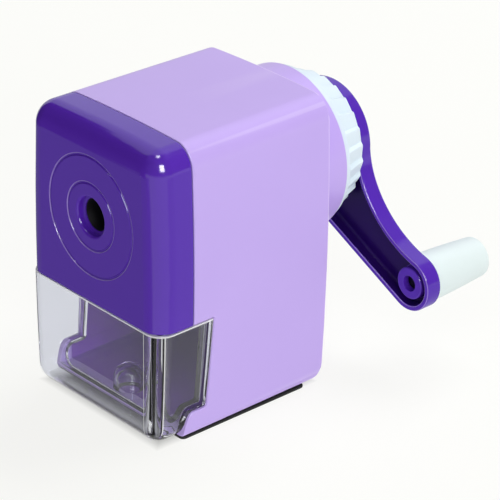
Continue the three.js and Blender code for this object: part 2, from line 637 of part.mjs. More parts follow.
// The cutter's pocket seen along its axis: round underneath and open at the top.
function pocketShape(radius) {
  const shape = new THREE.Shape();
  shape.moveTo(-radius, 2 * CARRIER_RADIUS);
  shape.lineTo(-radius, 0);
  shape.absarc(0, 0, radius, Math.PI, 2 * Math.PI, false);
  shape.lineTo(radius, 2 * CARRIER_RADIUS);
  return shape;
}

function carrier() {
  const nose = bar(NOSE_RADIUS, PLATE_Y, DISC_Y + 1, ROUND);
  const frontDisc = bar(CARRIER_RADIUS, DISC_Y, DISC_Y + DISC_THICKNESS, ROUND);
  const core = bar(CARRIER_CORE_RADIUS, DISC_Y + 1, HUB_Y - 1, ROUND);
  const rearDisc = bar(CARRIER_RADIUS, REAR_DISC_Y, HUB_Y, ROUND);
  const hub = bar(HUB_RADIUS, HUB_Y - 1, HUB_END);
  const spread = Math.tan(CONE_ANGLE);
  const coneStart = APEX_Y - (PENCIL_RADIUS - CONE_CLEARANCE) / spread;
  const pencilRoom = turned([
    [0, 0],
    [PENCIL_RADIUS, 0],
    [PENCIL_RADIUS, coneStart],
    [CONE_CLEARANCE, APEX_Y],
    [0, APEX_Y],
  ]);
  const y0 = alongCutterAxis(CUTTER_Y) - GAP;
  const y1 = y0 + CUTTER_LENGTH + 2 * GAP;
  const pocket = tilted(toSolid(alongY(pocketShape(CUTTER_RADIUS + CUTTER_ROOM), y0, y1)));
  const ends = axleEnds();
  const axleRoom = tilted(bar(AXLE_RADIUS + GAP, ends.front - 1, ends.rear + GAP));
  const rodRoom = bar(ROD_RADIUS + GAP, CUTTER_END - 2, HUB_END);
  const shaftRoom = bar(SHAFT_RADIUS + GAP, SHAFT_START - GAP, HUB_END + 1);
  const screwRoom = setScrewBar(SET_SCREW_RADIUS + GAP, 0, HUB_RADIUS + 1);
  const body = joined(nose, frontDisc, core, rearDisc, hub);
  return cut(body, pencilRoom, pocket, axleRoom, rodRoom, shaftRoom, screwRoom);
}

// An upright bar in the middle of the carrier's hub, between two heights over the shaft's axis.
function setScrewBar(radius, bottom, top) {
  const y = (SHAFT_START + HUB_END) / 2;
  const upright = bar(radius, bottom, top, SMALL_ROUND).rotate([90, 0, 0]);
  return upright.translate([0, y, 0]);
}

function driveShaft() {
  const round = bar(SHAFT_RADIUS, SHAFT_START, ARM_Y - GAP, SMALL_ROUND);
  const half = SHAFT_SQUARE / 2;
  const square = box(-half, half, ARM_Y - 2 * GAP, SHAFT_END, -half, half);
  const bore = bar(SHAFT_BORE, 0, SHAFT_END + 1);
  const width = CROSS_PIN_RADIUS + GAP;
  const slot = box(
    -20,
    20,
    CROSS_PIN_Y - STOP_TRAVEL - width,
    CROSS_PIN_Y + width,
    -width,
    width,
  );
  return cut(round.add(square), bore, slot);
}

function stopRod() {
  const rod = bar(ROD_RADIUS, ROD_TIP_Y, CROSS_PIN_Y + ROD_OVERRUN);
  return rod.subtract(crossBar(CROSS_PIN_RADIUS + GAP / 3, 30));
}

function crossBar(radius, length) {
  const bar0 = bar(radius, -length / 2, length / 2, 12).rotate([0, 0, 90]);
  return bar0.translate([0, CROSS_PIN_Y, 0]);
}

function rearBearing() {
  const [bossRadius, bossReach] = BEARING_BOSS;
  const flange = bar(COUNTERBORE_RADIUS - GAP, FLANGE_Y, COLLAR_END - GAP, ROUND);
  const boss = bar(bossRadius, FLANGE_Y - bossReach, FLANGE_Y + 1);
  const bore = bar(SHAFT_RADIUS + GAP, 0, COLLAR_END + 1);
  const [headRadius, headThickness] = SCREW_HEAD;
  const recess = COLLAR_END - 2 * GAP - headThickness;
  const holes = lugPlaces().map((place) =>
    joined(
      barAt(place, SCREW_RADIUS + GAP, 0, COLLAR_END + 1),
      barAt(place, headRadius + GAP, recess, COLLAR_END + 1),
    ),
  );
  return cut(flange.add(boss), bore, ...holes);
}

// A pan-head screw whose head's seat is at y, pointing along +Y or -Y.
function screw(place, seat, direction, head, radius, length) {
  const [headRadius, headThickness] = head;
  const headEnd = seat - direction * headThickness;
  const tip = seat + direction * length;
  const cap = barAt(place, headRadius, Math.min(seat, headEnd), Math.max(seat, headEnd));
  const shank = barAt(place, radius, Math.min(headEnd, tip), Math.max(headEnd, tip));
  const slot = box(-headRadius, headRadius, -0.5, 0.5, -0.35, 0.35);
  return cap.add(shank).subtract(slot.translate([place.x, headEnd, place.y]));
}

// ---- Dial, crank and grip ---------------------------------------------------------------------
function scallopedShape(radius) {
  const points = [];
  for (let i = 0; i < DIAL_SCALLOPS; i += 1) {
    const pitch = (2 * Math.PI) / DIAL_SCALLOPS;
    points.push(polar(radius - SCALLOP_DEPTH, i * pitch));
    points.push(polar(radius - 0.2 * SCALLOP_DEPTH, (i + 0.45) * pitch));
    points.push(polar(radius, (i + 0.85) * pitch));
  }
  return new THREE.Shape(points);
}

function dial() {
  const skirtY = DIAL_Y + DIAL_RIM;
  const skirt = alongY(scallopedShape(DIAL_FRONT_RADIUS), skirtY - 0.4, DIAL_END);
  const place = skirt.attributes.position;
  const taper = (DIAL_FRONT_RADIUS - DIAL_REAR_RADIUS) / DIAL_FRONT_RADIUS;
  for (let i = 0; i < place.count; i += 1) {
    const share = 1 - (taper * (place.getY(i) - skirtY)) / (DIAL_END - skirtY);
    place.setX(i, place.getX(i) * share);
    place.setZ(i, place.getZ(i) * share);
  }
  const rim = bar(DIAL_RIM_RADIUS, DIAL_Y, skirtY, ROUND);
  const inner = DIAL_REAR_RADIUS - SCALLOP_DEPTH - DIAL_WALL;
  const web = DIAL_END - DIAL_WALL;
  const hollow = tube(inner, DIAL_HUB_RADIUS, DIAL_Y - 1, web, ROUND);
  const washerRoom = bar(WASHER_RADIUS + GAP + 2, DIAL_Y - 1, DIAL_Y + WASHER_THICKNESS, ROUND);
  const bore = bar(SHAFT_RADIUS + GAP, 0, DIAL_END + 1);
  return cut(joined(rim, toSolid(skirt)), hollow, washerRoom, bore, ...camSlots());
}

// Two helical slots: turning the dial moves the cross pin, and with it the point stop, along Y.
function camSlots() {
  const reach = CROSS_PIN_LENGTH / 2 + GAP;
  const room = CROSS_PIN_RADIUS + GAP;
  const slots = [];
  for (let i = 0; i <= CAM_STEPS; i += 1) {
    const share = i / CAM_STEPS;
    const degrees = THREE.MathUtils.radToDeg(share * DIAL_TURN);
    const step = box(-reach, reach, -room, room, -room, room).rotate([0, -degrees, 0]);
    slots.push(step.translate([0, CROSS_PIN_Y - share * STOP_TRAVEL, 0]));
  }
  return slots;
}

function dialWasher() {
  return tube(WASHER_RADIUS, SHAFT_RADIUS + GAP, COLLAR_END, COLLAR_END + WASHER_THICKNESS);
}

// The crank arm's outline about the crank axis, shrunk by an inset: a round hub, a curved upper
// edge, a round grip end and a straight lower edge that sweeps up to the hub's far side.
function armShape(inset) {
  const hub = ARM_HUB_RADIUS - inset;
  const end = ARM_END_RADIUS - inset;
  const edge = polar(1, ARM_EDGE_ANGLE);
  const lowAngle = ARM_EDGE_ANGLE + Math.PI / 2;
  const neck = polar(end, ARM_NECK_ANGLE).add(GRIP_CENTRE);
  const neckPull = neck.clone().sub(polar(0.24 * CRANK_REACH, ARM_NECK_ANGLE - Math.PI / 2));
  const low = polar(end, lowAngle).add(GRIP_CENTRE);
  const bend = low.clone().addScaledVector(edge, 0.6 * CRANK_REACH);
  const bendPull = bend.clone().addScaledVector(edge, 0.25 * CRANK_REACH);
  const shape = new THREE.Shape();
  shape.moveTo(hub, 0);
  shape.absarc(0, 0, hub, 0, Math.PI, false);
  shape.bezierCurveTo(-hub, -0.27 * CRANK_REACH, bendPull.x, bendPull.y, bend.x, bend.y);
  shape.lineTo(low.x, low.y);
  shape.absarc(GRIP_CENTRE.x, GRIP_CENTRE.y, end, lowAngle, ARM_NECK_ANGLE + 2 * Math.PI, false);
  shape.bezierCurveTo(neckPull.x, neckPull.y, hub + 1.5, -0.25 * CRANK_REACH, hub, 0);
  return shape;
}

function crankArm() {
  const fillet = {
    bevelEnabled: true,
    bevelThickness: ARM_FILLET,
    bevelSize: ARM_FILLET,
    bevelSegments: 2,
    curveSegments: 12,
  };
  const [frontBoss, rearBoss] = ARM_BOSS;
  const blank = toSolid(alongY(armShape(ARM_FILLET), ARM_Y - 2, ARM_BACK - ARM_FILLET, fillet));
  const plate = blank.subtract(box(-99, 99, ARM_Y - 9, ARM_Y, -99, 99));
  const pocketEnd = ARM_BACK - ARM_FLOOR;
  const pocket = toSolid(alongY(armShape(ARM_RIM), ARM_Y - 1, pocketEnd, { curveSegments: 12 }));
  const gripBoss = barAt(GRIP_CENTRE, GRIP_BOSS_RADIUS, ARM_Y + GRIP_BOSS_SINK, pocketEnd + 1);
  const boss = bar(frontBoss, ARM_Y, pocketEnd + 1);
  const rear = bar(rearBoss, pocketEnd, BOSS_BACK);
  const half = SHAFT_SQUARE / 2 + GAP;
  const square = box(-half, half, ARM_Y - 1, SHAFT_END + GAP, -half, half);
  const screwHole = bar(CRANK_SCREW_RADIUS + GAP, 0, CRANK_RECESS_Y + 1);
  const recess = bar(rearBoss - ARM_RIM, CRANK_RECESS_Y, BOSS_BACK + 1);
  const pinHead = barAt(GRIP_CENTRE, GRIP_HOLE_RADIUS, 0, pocketEnd);
  const pinHole = barAt(GRIP_CENTRE, GRIP_PIN_RADIUS + GAP, 0, ARM_BACK + 1);
  const body = joined(plate.subtract(pocket), gripBoss, boss, rear);
  return cut(body, square, screwHole, recess, pinHead, pinHole);
}

function hubCap() {
  const radius = ARM_BOSS[1] - ARM_RIM - GAP;
  const y0 = BOSS_BACK - CAP_DISC_THICKNESS;
  return bar(radius, y0, BOSS_BACK, SMALL_ROUND);
}

function grip() {
  const [base, end] = GRIP_RADII;
  const y1 = GRIP_Y + GRIP_LENGTH;
  const points = [[0, GRIP_Y], [base - 0.4, GRIP_Y], [base, GRIP_Y + 0.4]];
  for (let i = 0; i <= 3; i += 1) {
    const angle = (i / 3) * (Math.PI / 2);
    const radius = end - GRIP_FILLET + GRIP_FILLET * Math.cos(angle);
    points.push([radius, y1 - GRIP_FILLET + GRIP_FILLET * Math.sin(angle)]);
  }
  points.push([0, y1]);
  const bore = bar(GRIP_PIN_RADIUS + GAP, 0, y1 - GRIP_END_WALL);
  return turned(points, 28).subtract(bore).subtract(pinBarb(GAP));
}

// The swelling near the grip pin's tip that the grip snaps over.
function pinBarb(room) {
  const y = GRIP_Y + 0.7 * GRIP_LENGTH;
  const [height, length] = BARB;
  const reach = length / 2 + room;
  return bar(GRIP_PIN_RADIUS + height + room, y - reach, y + reach);
}

function gripPin() {
  const headY = ARM_BACK - ARM_FLOOR - GAP - GRIP_PIN_HEAD;
  const head = bar(GRIP_HOLE_RADIUS - GAP, headY, headY + GRIP_PIN_HEAD);
  const shank = bar(GRIP_PIN_RADIUS, headY, GRIP_Y + GRIP_LENGTH - GRIP_END_WALL - GAP);
  return joined(head, shank, pinBarb(0));
}

// ---- Assembly ---------------------------------------------------------------------------------
const finishes = {
  lilac: { color: 0xc4aef0, roughness: 0.35, metalness: 0 },
  purple: { color: 0x4b2a92, roughness: 0.18, metalness: 0 },
  clear: { color: 0xe6ecec, roughness: 0.05, metalness: 0, transparent: true, opacity: 0.35 },
  white: { color: 0xdbe6ea, roughness: 0.4, metalness: 0 },
  black: { color: 0x17161a, roughness: 0.5, metalness: 0 },
  rubber: { color: 0x101012, roughness: 0.8, metalness: 0 },
  steel: { color: 0xa9abb0, roughness: 0.3, metalness: 1 },
  brass: { color: 0xb8974e, roughness: 0.35, metalness: 1 },
};

function node(parent, name, solid, finish) {
  const material = new THREE.MeshStandardMaterial(finishes[finish]);
  const mesh = new THREE.Mesh(toGeometry(solid), material);
  mesh.name = name;
  parent.add(mesh);
}

function addShells(parent) {
  node(parent, "casing", casing(), "lilac");
  node(parent, "front_cap", frontCap(), "purple");
  node(parent, "drawer", drawer(), "clear");
  node(parent, "base_pad", basePad(), "rubber");
}

function addFrame(axis) {
  node(axis, "pencil_guide", pencilGuide(), "black");
  node(axis, "barrel", barrel(), "black");
  node(axis, "ring_gear", ringGear(), "brass");
  node(axis, "rear_bearing", rearBearing(), "black");
  capScrewPlaces().forEach((place, i) => {
    const fastener = screw(place, PLATE_BACK + GAP, -1, SCREW_HEAD, SCREW_RADIUS, SCREW_LENGTH);
    node(axis, `cap_screw_${i + 1}`, fastener, "steel");
  });
  const seat = COLLAR_END - GAP - SCREW_HEAD[1];
  lugPlaces().forEach((place, i) => {
    const fastener = screw(place, seat, -1, SCREW_HEAD, SCREW_RADIUS, SCREW_LENGTH);
    node(axis, `bearing_screw_${i + 1}`, fastener, "steel");
  });
}

function addRotor(axis) {
  node(axis, "cutter_carrier", carrier(), "black");
  node(axis, "drive_shaft", driveShaft(), "steel");
  const setScrew = setScrewBar(SET_SCREW_RADIUS, SHAFT_RADIUS + GAP, HUB_RADIUS);
  node(axis, "hub_set_screw", setScrew, "steel");
  node(axis, "stop_rod", stopRod(), "steel");
  node(axis, "stop_cross_pin", crossBar(CROSS_PIN_RADIUS, CROSS_PIN_LENGTH), "steel");
  node(axis, "dial_washer", dialWasher(), "steel");
  node(axis, "point_dial", dial(), "white");
  const tilt = new THREE.Group();
  tilt.position.set(0, PINION_Y, CUTTER_OFFSET);
  tilt.rotation.x = -CONE_ANGLE;
  axis.add(tilt);
  node(tilt, "cutter_pinion", pinion(), "brass");
  node(tilt, "helical_cutter", cutter(), "steel");
  node(tilt, "cutter_axle", axle(), "steel");
  node(tilt, "axle_clip", axleClip(), "steel");
}

function addCrank(axis) {
  node(axis, "crank_arm", crankArm(), "purple");
  const centre = new THREE.Vector2(0, 0);
  const seat = CRANK_RECESS_Y + GAP;
  const length = SHAFT_SQUARE_LENGTH + CRANK_WEB + 2;
  const fastener = screw(centre, seat, -1, CRANK_SCREW_HEAD, CRANK_SCREW_RADIUS, length);
  node(axis, "crank_screw", fastener, "steel");
  node(axis, "hub_cap", hubCap(), "purple");
  const handle = new THREE.Group();
  handle.position.set(GRIP_CENTRE.x, 0, GRIP_CENTRE.y);
  axis.add(handle);
  node(handle, "grip", grip(), "white");
  node(handle, "grip_pin", gripPin(), "steel");
}

const sharpener = new THREE.Group();
sharpener.position.y = -ORIGIN_Y;
const crankAxis = new THREE.Group();
crankAxis.position.z = AXIS_HEIGHT;
sharpener.add(crankAxis);
addShells(sharpener);
addFrame(crankAxis);
addRotor(crankAxis);
addCrank(crankAxis);

// The export is one more group, so that its own frame is the part's frame.
const part = new THREE.Group();
part.add(sharpener);

export default part;
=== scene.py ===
"""Looks of the hand-crank pencil sharpener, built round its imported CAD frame.

Lengths are in millimetres in the part's own layout, where y = 0 is the front face, and become metres
in the row frame when a piece is made.
"""

import math

import bmesh
import bpy
from mathutils import Matrix, Vector


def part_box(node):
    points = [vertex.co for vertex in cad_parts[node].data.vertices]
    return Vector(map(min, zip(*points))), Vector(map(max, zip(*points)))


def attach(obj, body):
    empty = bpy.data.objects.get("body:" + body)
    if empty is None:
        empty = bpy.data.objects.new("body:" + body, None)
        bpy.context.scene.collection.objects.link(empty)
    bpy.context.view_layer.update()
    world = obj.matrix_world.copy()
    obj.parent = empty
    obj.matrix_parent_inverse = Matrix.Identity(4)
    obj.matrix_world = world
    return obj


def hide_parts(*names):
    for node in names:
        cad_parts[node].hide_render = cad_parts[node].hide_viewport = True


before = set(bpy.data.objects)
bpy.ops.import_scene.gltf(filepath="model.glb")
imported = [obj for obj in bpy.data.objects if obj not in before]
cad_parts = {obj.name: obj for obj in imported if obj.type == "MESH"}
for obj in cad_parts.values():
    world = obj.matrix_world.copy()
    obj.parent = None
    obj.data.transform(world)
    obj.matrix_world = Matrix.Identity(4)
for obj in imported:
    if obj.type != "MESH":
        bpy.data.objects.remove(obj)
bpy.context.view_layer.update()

# ---- Places, read from the frame ------------------------------------------------------------------
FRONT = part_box("front_cap")[0].y * 1000
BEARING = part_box("rear_bearing")
AXIS_Z = (BEARING[0].z + BEARING[1].z) * 500
GRIP_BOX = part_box("grip")
GRIP_X = (GRIP_BOX[0].x + GRIP_BOX[1].x) * 500
GRIP_Z = (GRIP_BOX[0].z + GRIP_BOX[1].z) * 500 - AXIS_Z

# ---- Sizes ----------------------------------------------------------------------------------------
# The body: a box whose sides bulge and whose section narrows to the rear by the moulding draft.
WIDTH, HEIGHT, DEPTH = 56.5, 89.7, 64.0
BULGE, CROWN = 1.07, 0.4
WIDTH_DRAFT, HEIGHT_DRAFT = 0.00039, 0.00007
TOP_R, LOW_R, HEEL_R = 7.2, 1.5, 5.0
WALL, FLOOR, SEAM, GAP = 2.2, 1.8, 0.35, 0.3
OUT, SIDE, ABOVE = -20, 60, 140  # ahead of or under the body, beside or behind it, and over it

# The front cap and the drawer, whose cheeks end in a stepped line and whose tray lies in the casing.
CAP_DEPTH, CAP_FILLET = 12.6, 6.6
DRAWER_TOP, DRAWER_FILLET, DRAWER_WALL, DRAWER_LIFT = 36.3, 5.5, 2.0, 0.5
CHEEK_DEPTH, CHEEK_FOOT, CHEEK_TOE = 20.2, 18.2, 9.6
CHEEK_STEP, CHEEK_LEDGE, CHEEK_LAP = 8.8, 4.8, 1.4
TRAY_DEPTH, TRAY_WALL, TRAY_R, TRAY_DROP = 57.5, 1.4, 6.0, 1.8

PAD, PAD_R = 0.8, 1.5
BOTTOM = PAD + GAP
FLOOR_TOP = BOTTOM + FLOOR
TRAY_BOTTOM = FLOOR_TOP + SEAM
# Widths of the softened edges; the small one is for the pad and the nubs.
CASING_EDGE, CAP_EDGE, DRAWER_EDGE, ARM_EDGE, SMALL_EDGE = 0.35, 0.22, 0.3, 0.18, 0.2
LEAST_R = 0.6  # the smallest radius that a corner of the body's section has

# The collar on the casing's rear wall, and the nubs beside it.
COLLAR_R, COLLAR_END, COLLAR_WALL = 25.3, 74.1, 2.4
COLLAR_EDGE, COUNTERBORE_STEP, COUNTERBORE_DEPTH = 0.6, 1.0, 3.4
NUB_X, NUB_LOW, NUB_WIDTH, NUB_HEIGHT, NUB_RISE = 2.2, 41.3, 1.2, 2.2, 0.6

# The pencil hole, the two grooves round it, and the post on the drawer's floor.
MOUTH_R, MOUTH_FLARE, MOUTH_EDGE = 5.8, 1.7, 0.7
GROOVE_RINGS, GROOVE_R, GROOVE_SINK = (18, 10), 0.3, 0.04
DRAWER_CORNER = 1.2  # inner front corner of the drawer, sharper than its outside
DOME_R, DOME_HEIGHT, DOME_WALL = 4.6, 9, 1.4

# The dial: places along the axis, scallops (how many, how deep, where each is highest) and hollows.
DIAL_Y, DIAL_END = 74.4, 85.3
SCALLOPS, SCALLOP_DEPTH, SCALLOP_RISE = 26, 1.0, 0.86
DIAL_HUB_R, DIAL_HOLLOW_R, DIAL_WEB, DIAL_BORE_R = 8.4, 17.6, 2, 3.8
WASHER_ROOM_R, WASHER_ROOM_DEPTH = 10.3, 0.8

# The crank arm with its bosses and holes, the disc on its hub, and the grip.
ARM_Y, ARM_BACK = 86.0, 91.6
CRANK_REACH = math.hypot(GRIP_X, GRIP_Z)
ARM_HUB_R, ARM_END_R, ARM_EDGE_ANGLE, ARM_NECK_ANGLE = 17.1, 8.3, 153.7, 75
ARM_RIM, ARM_FLOOR, ARM_FILLET = 1.6, 2.0, 0.9
GRIP_BOSS_R, GRIP_BOSS_SINK, HUB_BOSS_R = 4.95, 0.6, 7.6
REAR_BOSS_R, REAR_BOSS_HEIGHT, REAR_BOSS_EDGE = 8.2, 2.4, 0.8
SQUARE_HALF, SQUARE_DEPTH, SCREW_SEAT = 2.7, 3.3, 1.4
SCREW_HOLE_R, RECESS_R, PIN_R, PIN_HEAD_R = 1.55, 6.6, 1.8, 2.4
HUB_CAP_R, HUB_CAP_THICKNESS, HUB_CAP_EDGE = 6.3, 1.3, 0.3
GRIP_BASE_R, GRIP_END_R, GRIP_EDGE, GRIP_SWELL, GRIP_CLOSED = 7.4, 6.2, 1.0, 0.12, 4


# ---- Mesh helpers ---------------------------------------------------------------------------------
def mesh_object(name, verts, faces):
    """A new object from millimetre points, in metres and in the row frame."""
    mesh = bpy.data.meshes.new(name)
    mesh.from_pydata([(x / 1000, (y + FRONT) / 1000, z / 1000) for x, y, z in verts], [], faces)
    made = bpy.data.objects.new(name, mesh)
    bpy.context.scene.collection.objects.link(made)
    bm = bmesh.new()
    bm.from_mesh(mesh)
    bmesh.ops.remove_doubles(bm, verts=bm.verts, dist=1e-7)
    bmesh.ops.recalc_face_normals(bm, faces=bm.faces)
    bm.to_mesh(mesh)
    bm.free()
    return made


def loft(name, rings):
    """Closed rings of equal length joined one after the other, with flat ends."""
    n = len(rings[0])
    verts = [p for ring in rings for p in ring]
    faces = []
    for k in range(len(rings) - 1):
        for i in range(n):
            j = (i + 1) % n
            faces.append((k * n + i, k * n + j, (k + 1) * n + j, (k + 1) * n + i))
    faces.append(tuple(range(n)))
    faces.append(tuple((len(rings) - 1) * n + i for i in range(n)))
    return mesh_object(name, verts, faces)


def along_y(name, outline, y0, y1):
    return loft(name, [[(x, y, z) for x, z in outline] for y in (y0, y1)])


def along_x(name, outline, half):
    return loft(name, [[(x, y, z) for y, z in outline] for x in (-half, half)])


def turned(name, profile, sides=96, place=(0, 0), upright=False):
    """Revolved [radius, y] points round the crank axis, or round an upright axis at (y, z)."""
    verts, faces = [], []
    for radius, along in profile:
        for i in range(sides):
            a = 2 * math.pi * i / sides
            if upright:
                verts.append((radius * math.cos(a), place[0] + radius * math.sin(a), place[1] + along))
            else:
                verts.append(
                    (place[0] + radius * math.cos(a), along, AXIS_Z + place[1] + radius * math.sin(a))
                )
    for k in range(len(profile) - 1):
        for i in range(sides):
            j = (i + 1) % sides
            faces.append((k * sides + i, k * sides + j, (k + 1) * sides + j, (k + 1) * sides + i))
    if profile[0][0] > 0:
        faces.append(tuple(range(sides)))
    if profile[-1][0] > 0:
        faces.append(tuple((len(profile) - 1) * sides + i for i in range(sides)))
    return mesh_object(name, verts, faces)


def box(name, x0, x1, y0, y1, z0, z1):
    return along_y(name, [(x0, z0), (x1, z0), (x1, z1), (x0, z1)], y0, y1)


def use(piece, kind, **settings):
    """Adds a modifier and applies it."""
    modifier = piece.modifiers.new(kind.lower(), kind)
    for key, value in settings.items():
        setattr(modifier, key, value)
    graph = bpy.context.evaluated_depsgraph_get()
    mesh = bpy.data.meshes.new_from_object(piece.evaluated_get(graph))
    old = piece.data
    piece.modifiers.clear()
    piece.data = mesh
    bpy.data.meshes.remove(old)
    mesh.name = piece.name


def combine(piece, operation, *tools):
    for tool in tools:
        use(piece, "BOOLEAN", object=tool, operation=operation, solver="MANIFOLD")
        bpy.data.objects.remove(tool)
    return piece


def cut(piece, *tools):
    return combine(piece, "DIFFERENCE", *tools)


def join(piece, *tools):
    return combine(piece, "UNION", *tools)


def common(piece, *tools):
    return combine(piece, "INTERSECT", *tools)


def copy_of(piece):
    made = piece.copy()
    made.data = piece.data.copy()
    bpy.context.scene.collection.objects.link(made)
    return made


def clean(piece, angle=0.6):
    """Melts the flat edges that the cuts leave and merges points that lie together."""
    bm = bmesh.new()
    bm.from_mesh(piece.data)
    bmesh.ops.remove_doubles(bm, verts=bm.verts, dist=5e-6)
    bmesh.ops.dissolve_limit(
        bm, angle_limit=math.radians(angle), verts=bm.verts, edges=bm.edges, delimit={"NORMAL"}
    )
    bmesh.ops.dissolve_degenerate(bm, edges=bm.edges, dist=5e-6)
    bm.to_mesh(piece.data)
    bm.free()


def soften(piece, width, segments=2, angle=32):
    """Rounds the sharp edges a little and shades the rest smooth."""
    clean(piece)
    use(
        piece,
        "BEVEL",
        width=width / 1000,
        segments=segments,
        limit_method="ANGLE",
        angle_limit=math.radians(angle),
        use_clamp_overlap=False,
        miter_outer="MITER_ARC",
    )
    smooth(piece)


def smooth(piece, angle=38):
    """Smooth shading, with edges over the angle kept crisp."""
    piece.data.shade_smooth()
    piece.data.set_sharp_from_angle(angle=math.radians(angle))
    weighted = piece.modifiers.new("weighted", "WEIGHTED_NORMAL")
    weighted.keep_sharp = True
    weighted.weight = 60


def keep_flat(piece, y):
    """Marks the outline of the flat front so that its shading stays flat."""
    bm = bmesh.new()
    bm.from_mesh(piece.data)
    level = (y + FRONT) / 1000
    flat = {f for f in bm.faces if f.normal.y < -0.9999 and abs(f.calc_center_median().y - level) < 1e-5}
    for edge in bm.edges:
        if sum(f in flat for f in edge.link_faces) == 1:
            edge.smooth = False
    bm.to_mesh(piece.data)
    bm.free()


def arc(cx, cz, radius, start, end, steps):
    """Points of an arc between two angles in degrees."""
    points = []
    for i in range(steps + 1):
        a = math.radians(start + (end - start) * i / steps)
        points.append((cx + radius * math.cos(a), cz + radius * math.sin(a)))
    return points


def steps_to(degrees, count):
    """Angles in radians from zero to the given degrees."""
    return [math.radians(degrees * i / count) for i in range(count + 1)]


def round_edge(radius, end, edge, count):
    """[radius, y] points of the rounded outer edge of a turned end that faces the rear."""
    return [
        (radius - edge + edge * math.cos(a), end - edge + edge * math.sin(a))
        for a in steps_to(90, count)
    ]


def plug(radius, y0, y1):
    """[radius, y] profile of a plain round plug."""
    return [(0, y0), (radius, y0), (radius, y1), (0, y1)]


def bend(start, pull, end, steps):
    """Inner points of a quadratic curve and its end."""
    points = []
    for i in range(1, steps + 1):
        t = i / steps
        points.append(
            tuple(
                (1 - t) ** 2 * a + 2 * t * (1 - t) * b + t * t * c for a, b, c in zip(start, pull, end)
            )
        )
    return points


def cubic(start, pull_a, pull_b, end, steps):
    points = []
    for i in range(1, steps + 1):
        t = i / steps
        points.append(
            tuple(
                (1 - t) ** 3 * a + 3 * t * (1 - t) ** 2 * b + 3 * t * t * (1 - t) * c + t**3 * d
                for a, b, c, d in zip(start, pull_a, pull_b, end)
            )
        )
    return points


# ---- Outer shells ---------------------------------------------------------------------------------
def section(inset, bottom, high, low):
    """The body's outline seen from the front, with its top and bottom corner radii."""
    half = WIDTH / 2 - inset
    top = HEIGHT - inset
    middle = (bottom + top) / 2
    points = arc(half - low, bottom + low, low, -90, 0, 8)
    points += bend((half, bottom + low), (half + 2 * BULGE, middle), (half, top - high), 20)[:-1]
    points += arc(half - high, top - high, high, 0, 90, 18)
    points += bend((half - high, top), (0, top + 2 * CROWN), (-half + high, top), 12)[:-1]
    points += arc(-half + high, top - high, high, 90, 180, 18)
    points += bend((-half, top - high), (-half - 2 * BULGE, middle), (-half, bottom + low), 20)[:-1]
    points += arc(-half + low, bottom + low, low, 180, 270, 8)
    return points


def drafted(outline, y):
    """The outline at a place along Y, with the moulding draft."""
    return [(x * (1 - WIDTH_DRAFT * y), y, z * (1 + HEIGHT_DRAFT * y)) for x, z in outline]


def prism(name, inset, bottom, y0, y1, high, low):
    outline = section(inset, bottom, high, low)
    return loft(name, [drafted(outline, y) for y in (y0, y1)])


def front_block(name, inset, bottom, fillet, depth):
    """A solid front shell whose front edges are rounded, back to a given depth."""
    core_high = max(TOP_R - inset - fillet, LEAST_R)
    core_low = max(LOW_R - inset - fillet, LEAST_R)
    rings = []
    for i in range(13):
        a = math.radians(90 * i / 12)
        step = fillet * (1 - math.sin(a))
        grown = fillet - step
        outline = section(inset + step, bottom + step, core_high + grown, core_low + grown)
        rings.append(drafted(outline, inset + fillet * (1 - math.cos(a))))
    outline = section(inset, bottom, core_high + fillet, core_low + fillet)
    rings.append(drafted(outline, depth))
    return loft(name, rings)


def front_of_cheek(shift, top):
    """Side view of everything in front of the line where the drawer's cheeks end."""
    toe = CHEEK_TOE + shift
    ledge = CHEEK_FOOT - CHEEK_LEDGE + shift
    foot = CHEEK_FOOT + shift
    step = CHEEK_STEP - shift
    points = [(OUT, OUT), (toe, OUT), (toe, 0)]
    points += bend((toe, 0), (toe + 1, step), (ledge, step), 14)
    points.append((foot - 1, step))
    points += bend((foot - 1, step), (foot, step), (foot, step + 1), 5)
    points += [(CHEEK_DEPTH + shift, top), (OUT, top)]
    return points


def casing_side():
    """Side view of the casing behind the cap, with its rounded heel."""
    front = CAP_DEPTH + SEAM
    points = [(front, OUT), (DEPTH - HEEL_R, OUT)]
    points += arc(DEPTH - HEEL_R, BOTTOM + HEEL_R, HEEL_R, -90, 0, 14)
    points += [(DEPTH, ABOVE), (front, ABOVE)]
    return points


def make_casing():
    """The hollow casing with its toe under the cap, the drawer's opening and the bored collar."""
    shell = prism("casing_shell", 0, BOTTOM, 0, DEPTH + 1, TOP_R, LOW_R)
    toe_back = CAP_DEPTH + 2 * SEAM
    toe = [(0, OUT), (toe_back, OUT), (toe_back, DRAWER_TOP), (0, DRAWER_TOP)]
    keep = join(along_x("keep", casing_side(), WIDTH), along_x("toe", toe, WIDTH - 1))
    cavity = prism("cavity", WALL, FLOOR_TOP, -1, DEPTH - WALL, TOP_R - WALL, LEAST_R)
    opening = along_x("opening", front_of_cheek(SEAM, DRAWER_TOP + SEAM), WIDTH - 2)
    cut(common(shell, keep), cavity, opening)
    collar = [(0, DEPTH - WALL), (COLLAR_R, DEPTH - WALL)]
    collar += round_edge(COLLAR_R, COLLAR_END, COLLAR_EDGE, 5) + [(0, COLLAR_END)]
    join(shell, turned("collar", collar, 128))
    bore = COLLAR_R - COLLAR_WALL
    inner = plug(bore, DEPTH - 2 * WALL, COLLAR_END + 1)
    wider = plug(bore + COUNTERBORE_STEP, COLLAR_END - COUNTERBORE_DEPTH, COLLAR_END + 2)
    cut(shell, turned("bore", inner), turned("counterbore", wider))
    soften(shell, CASING_EDGE, 3)
    return shell


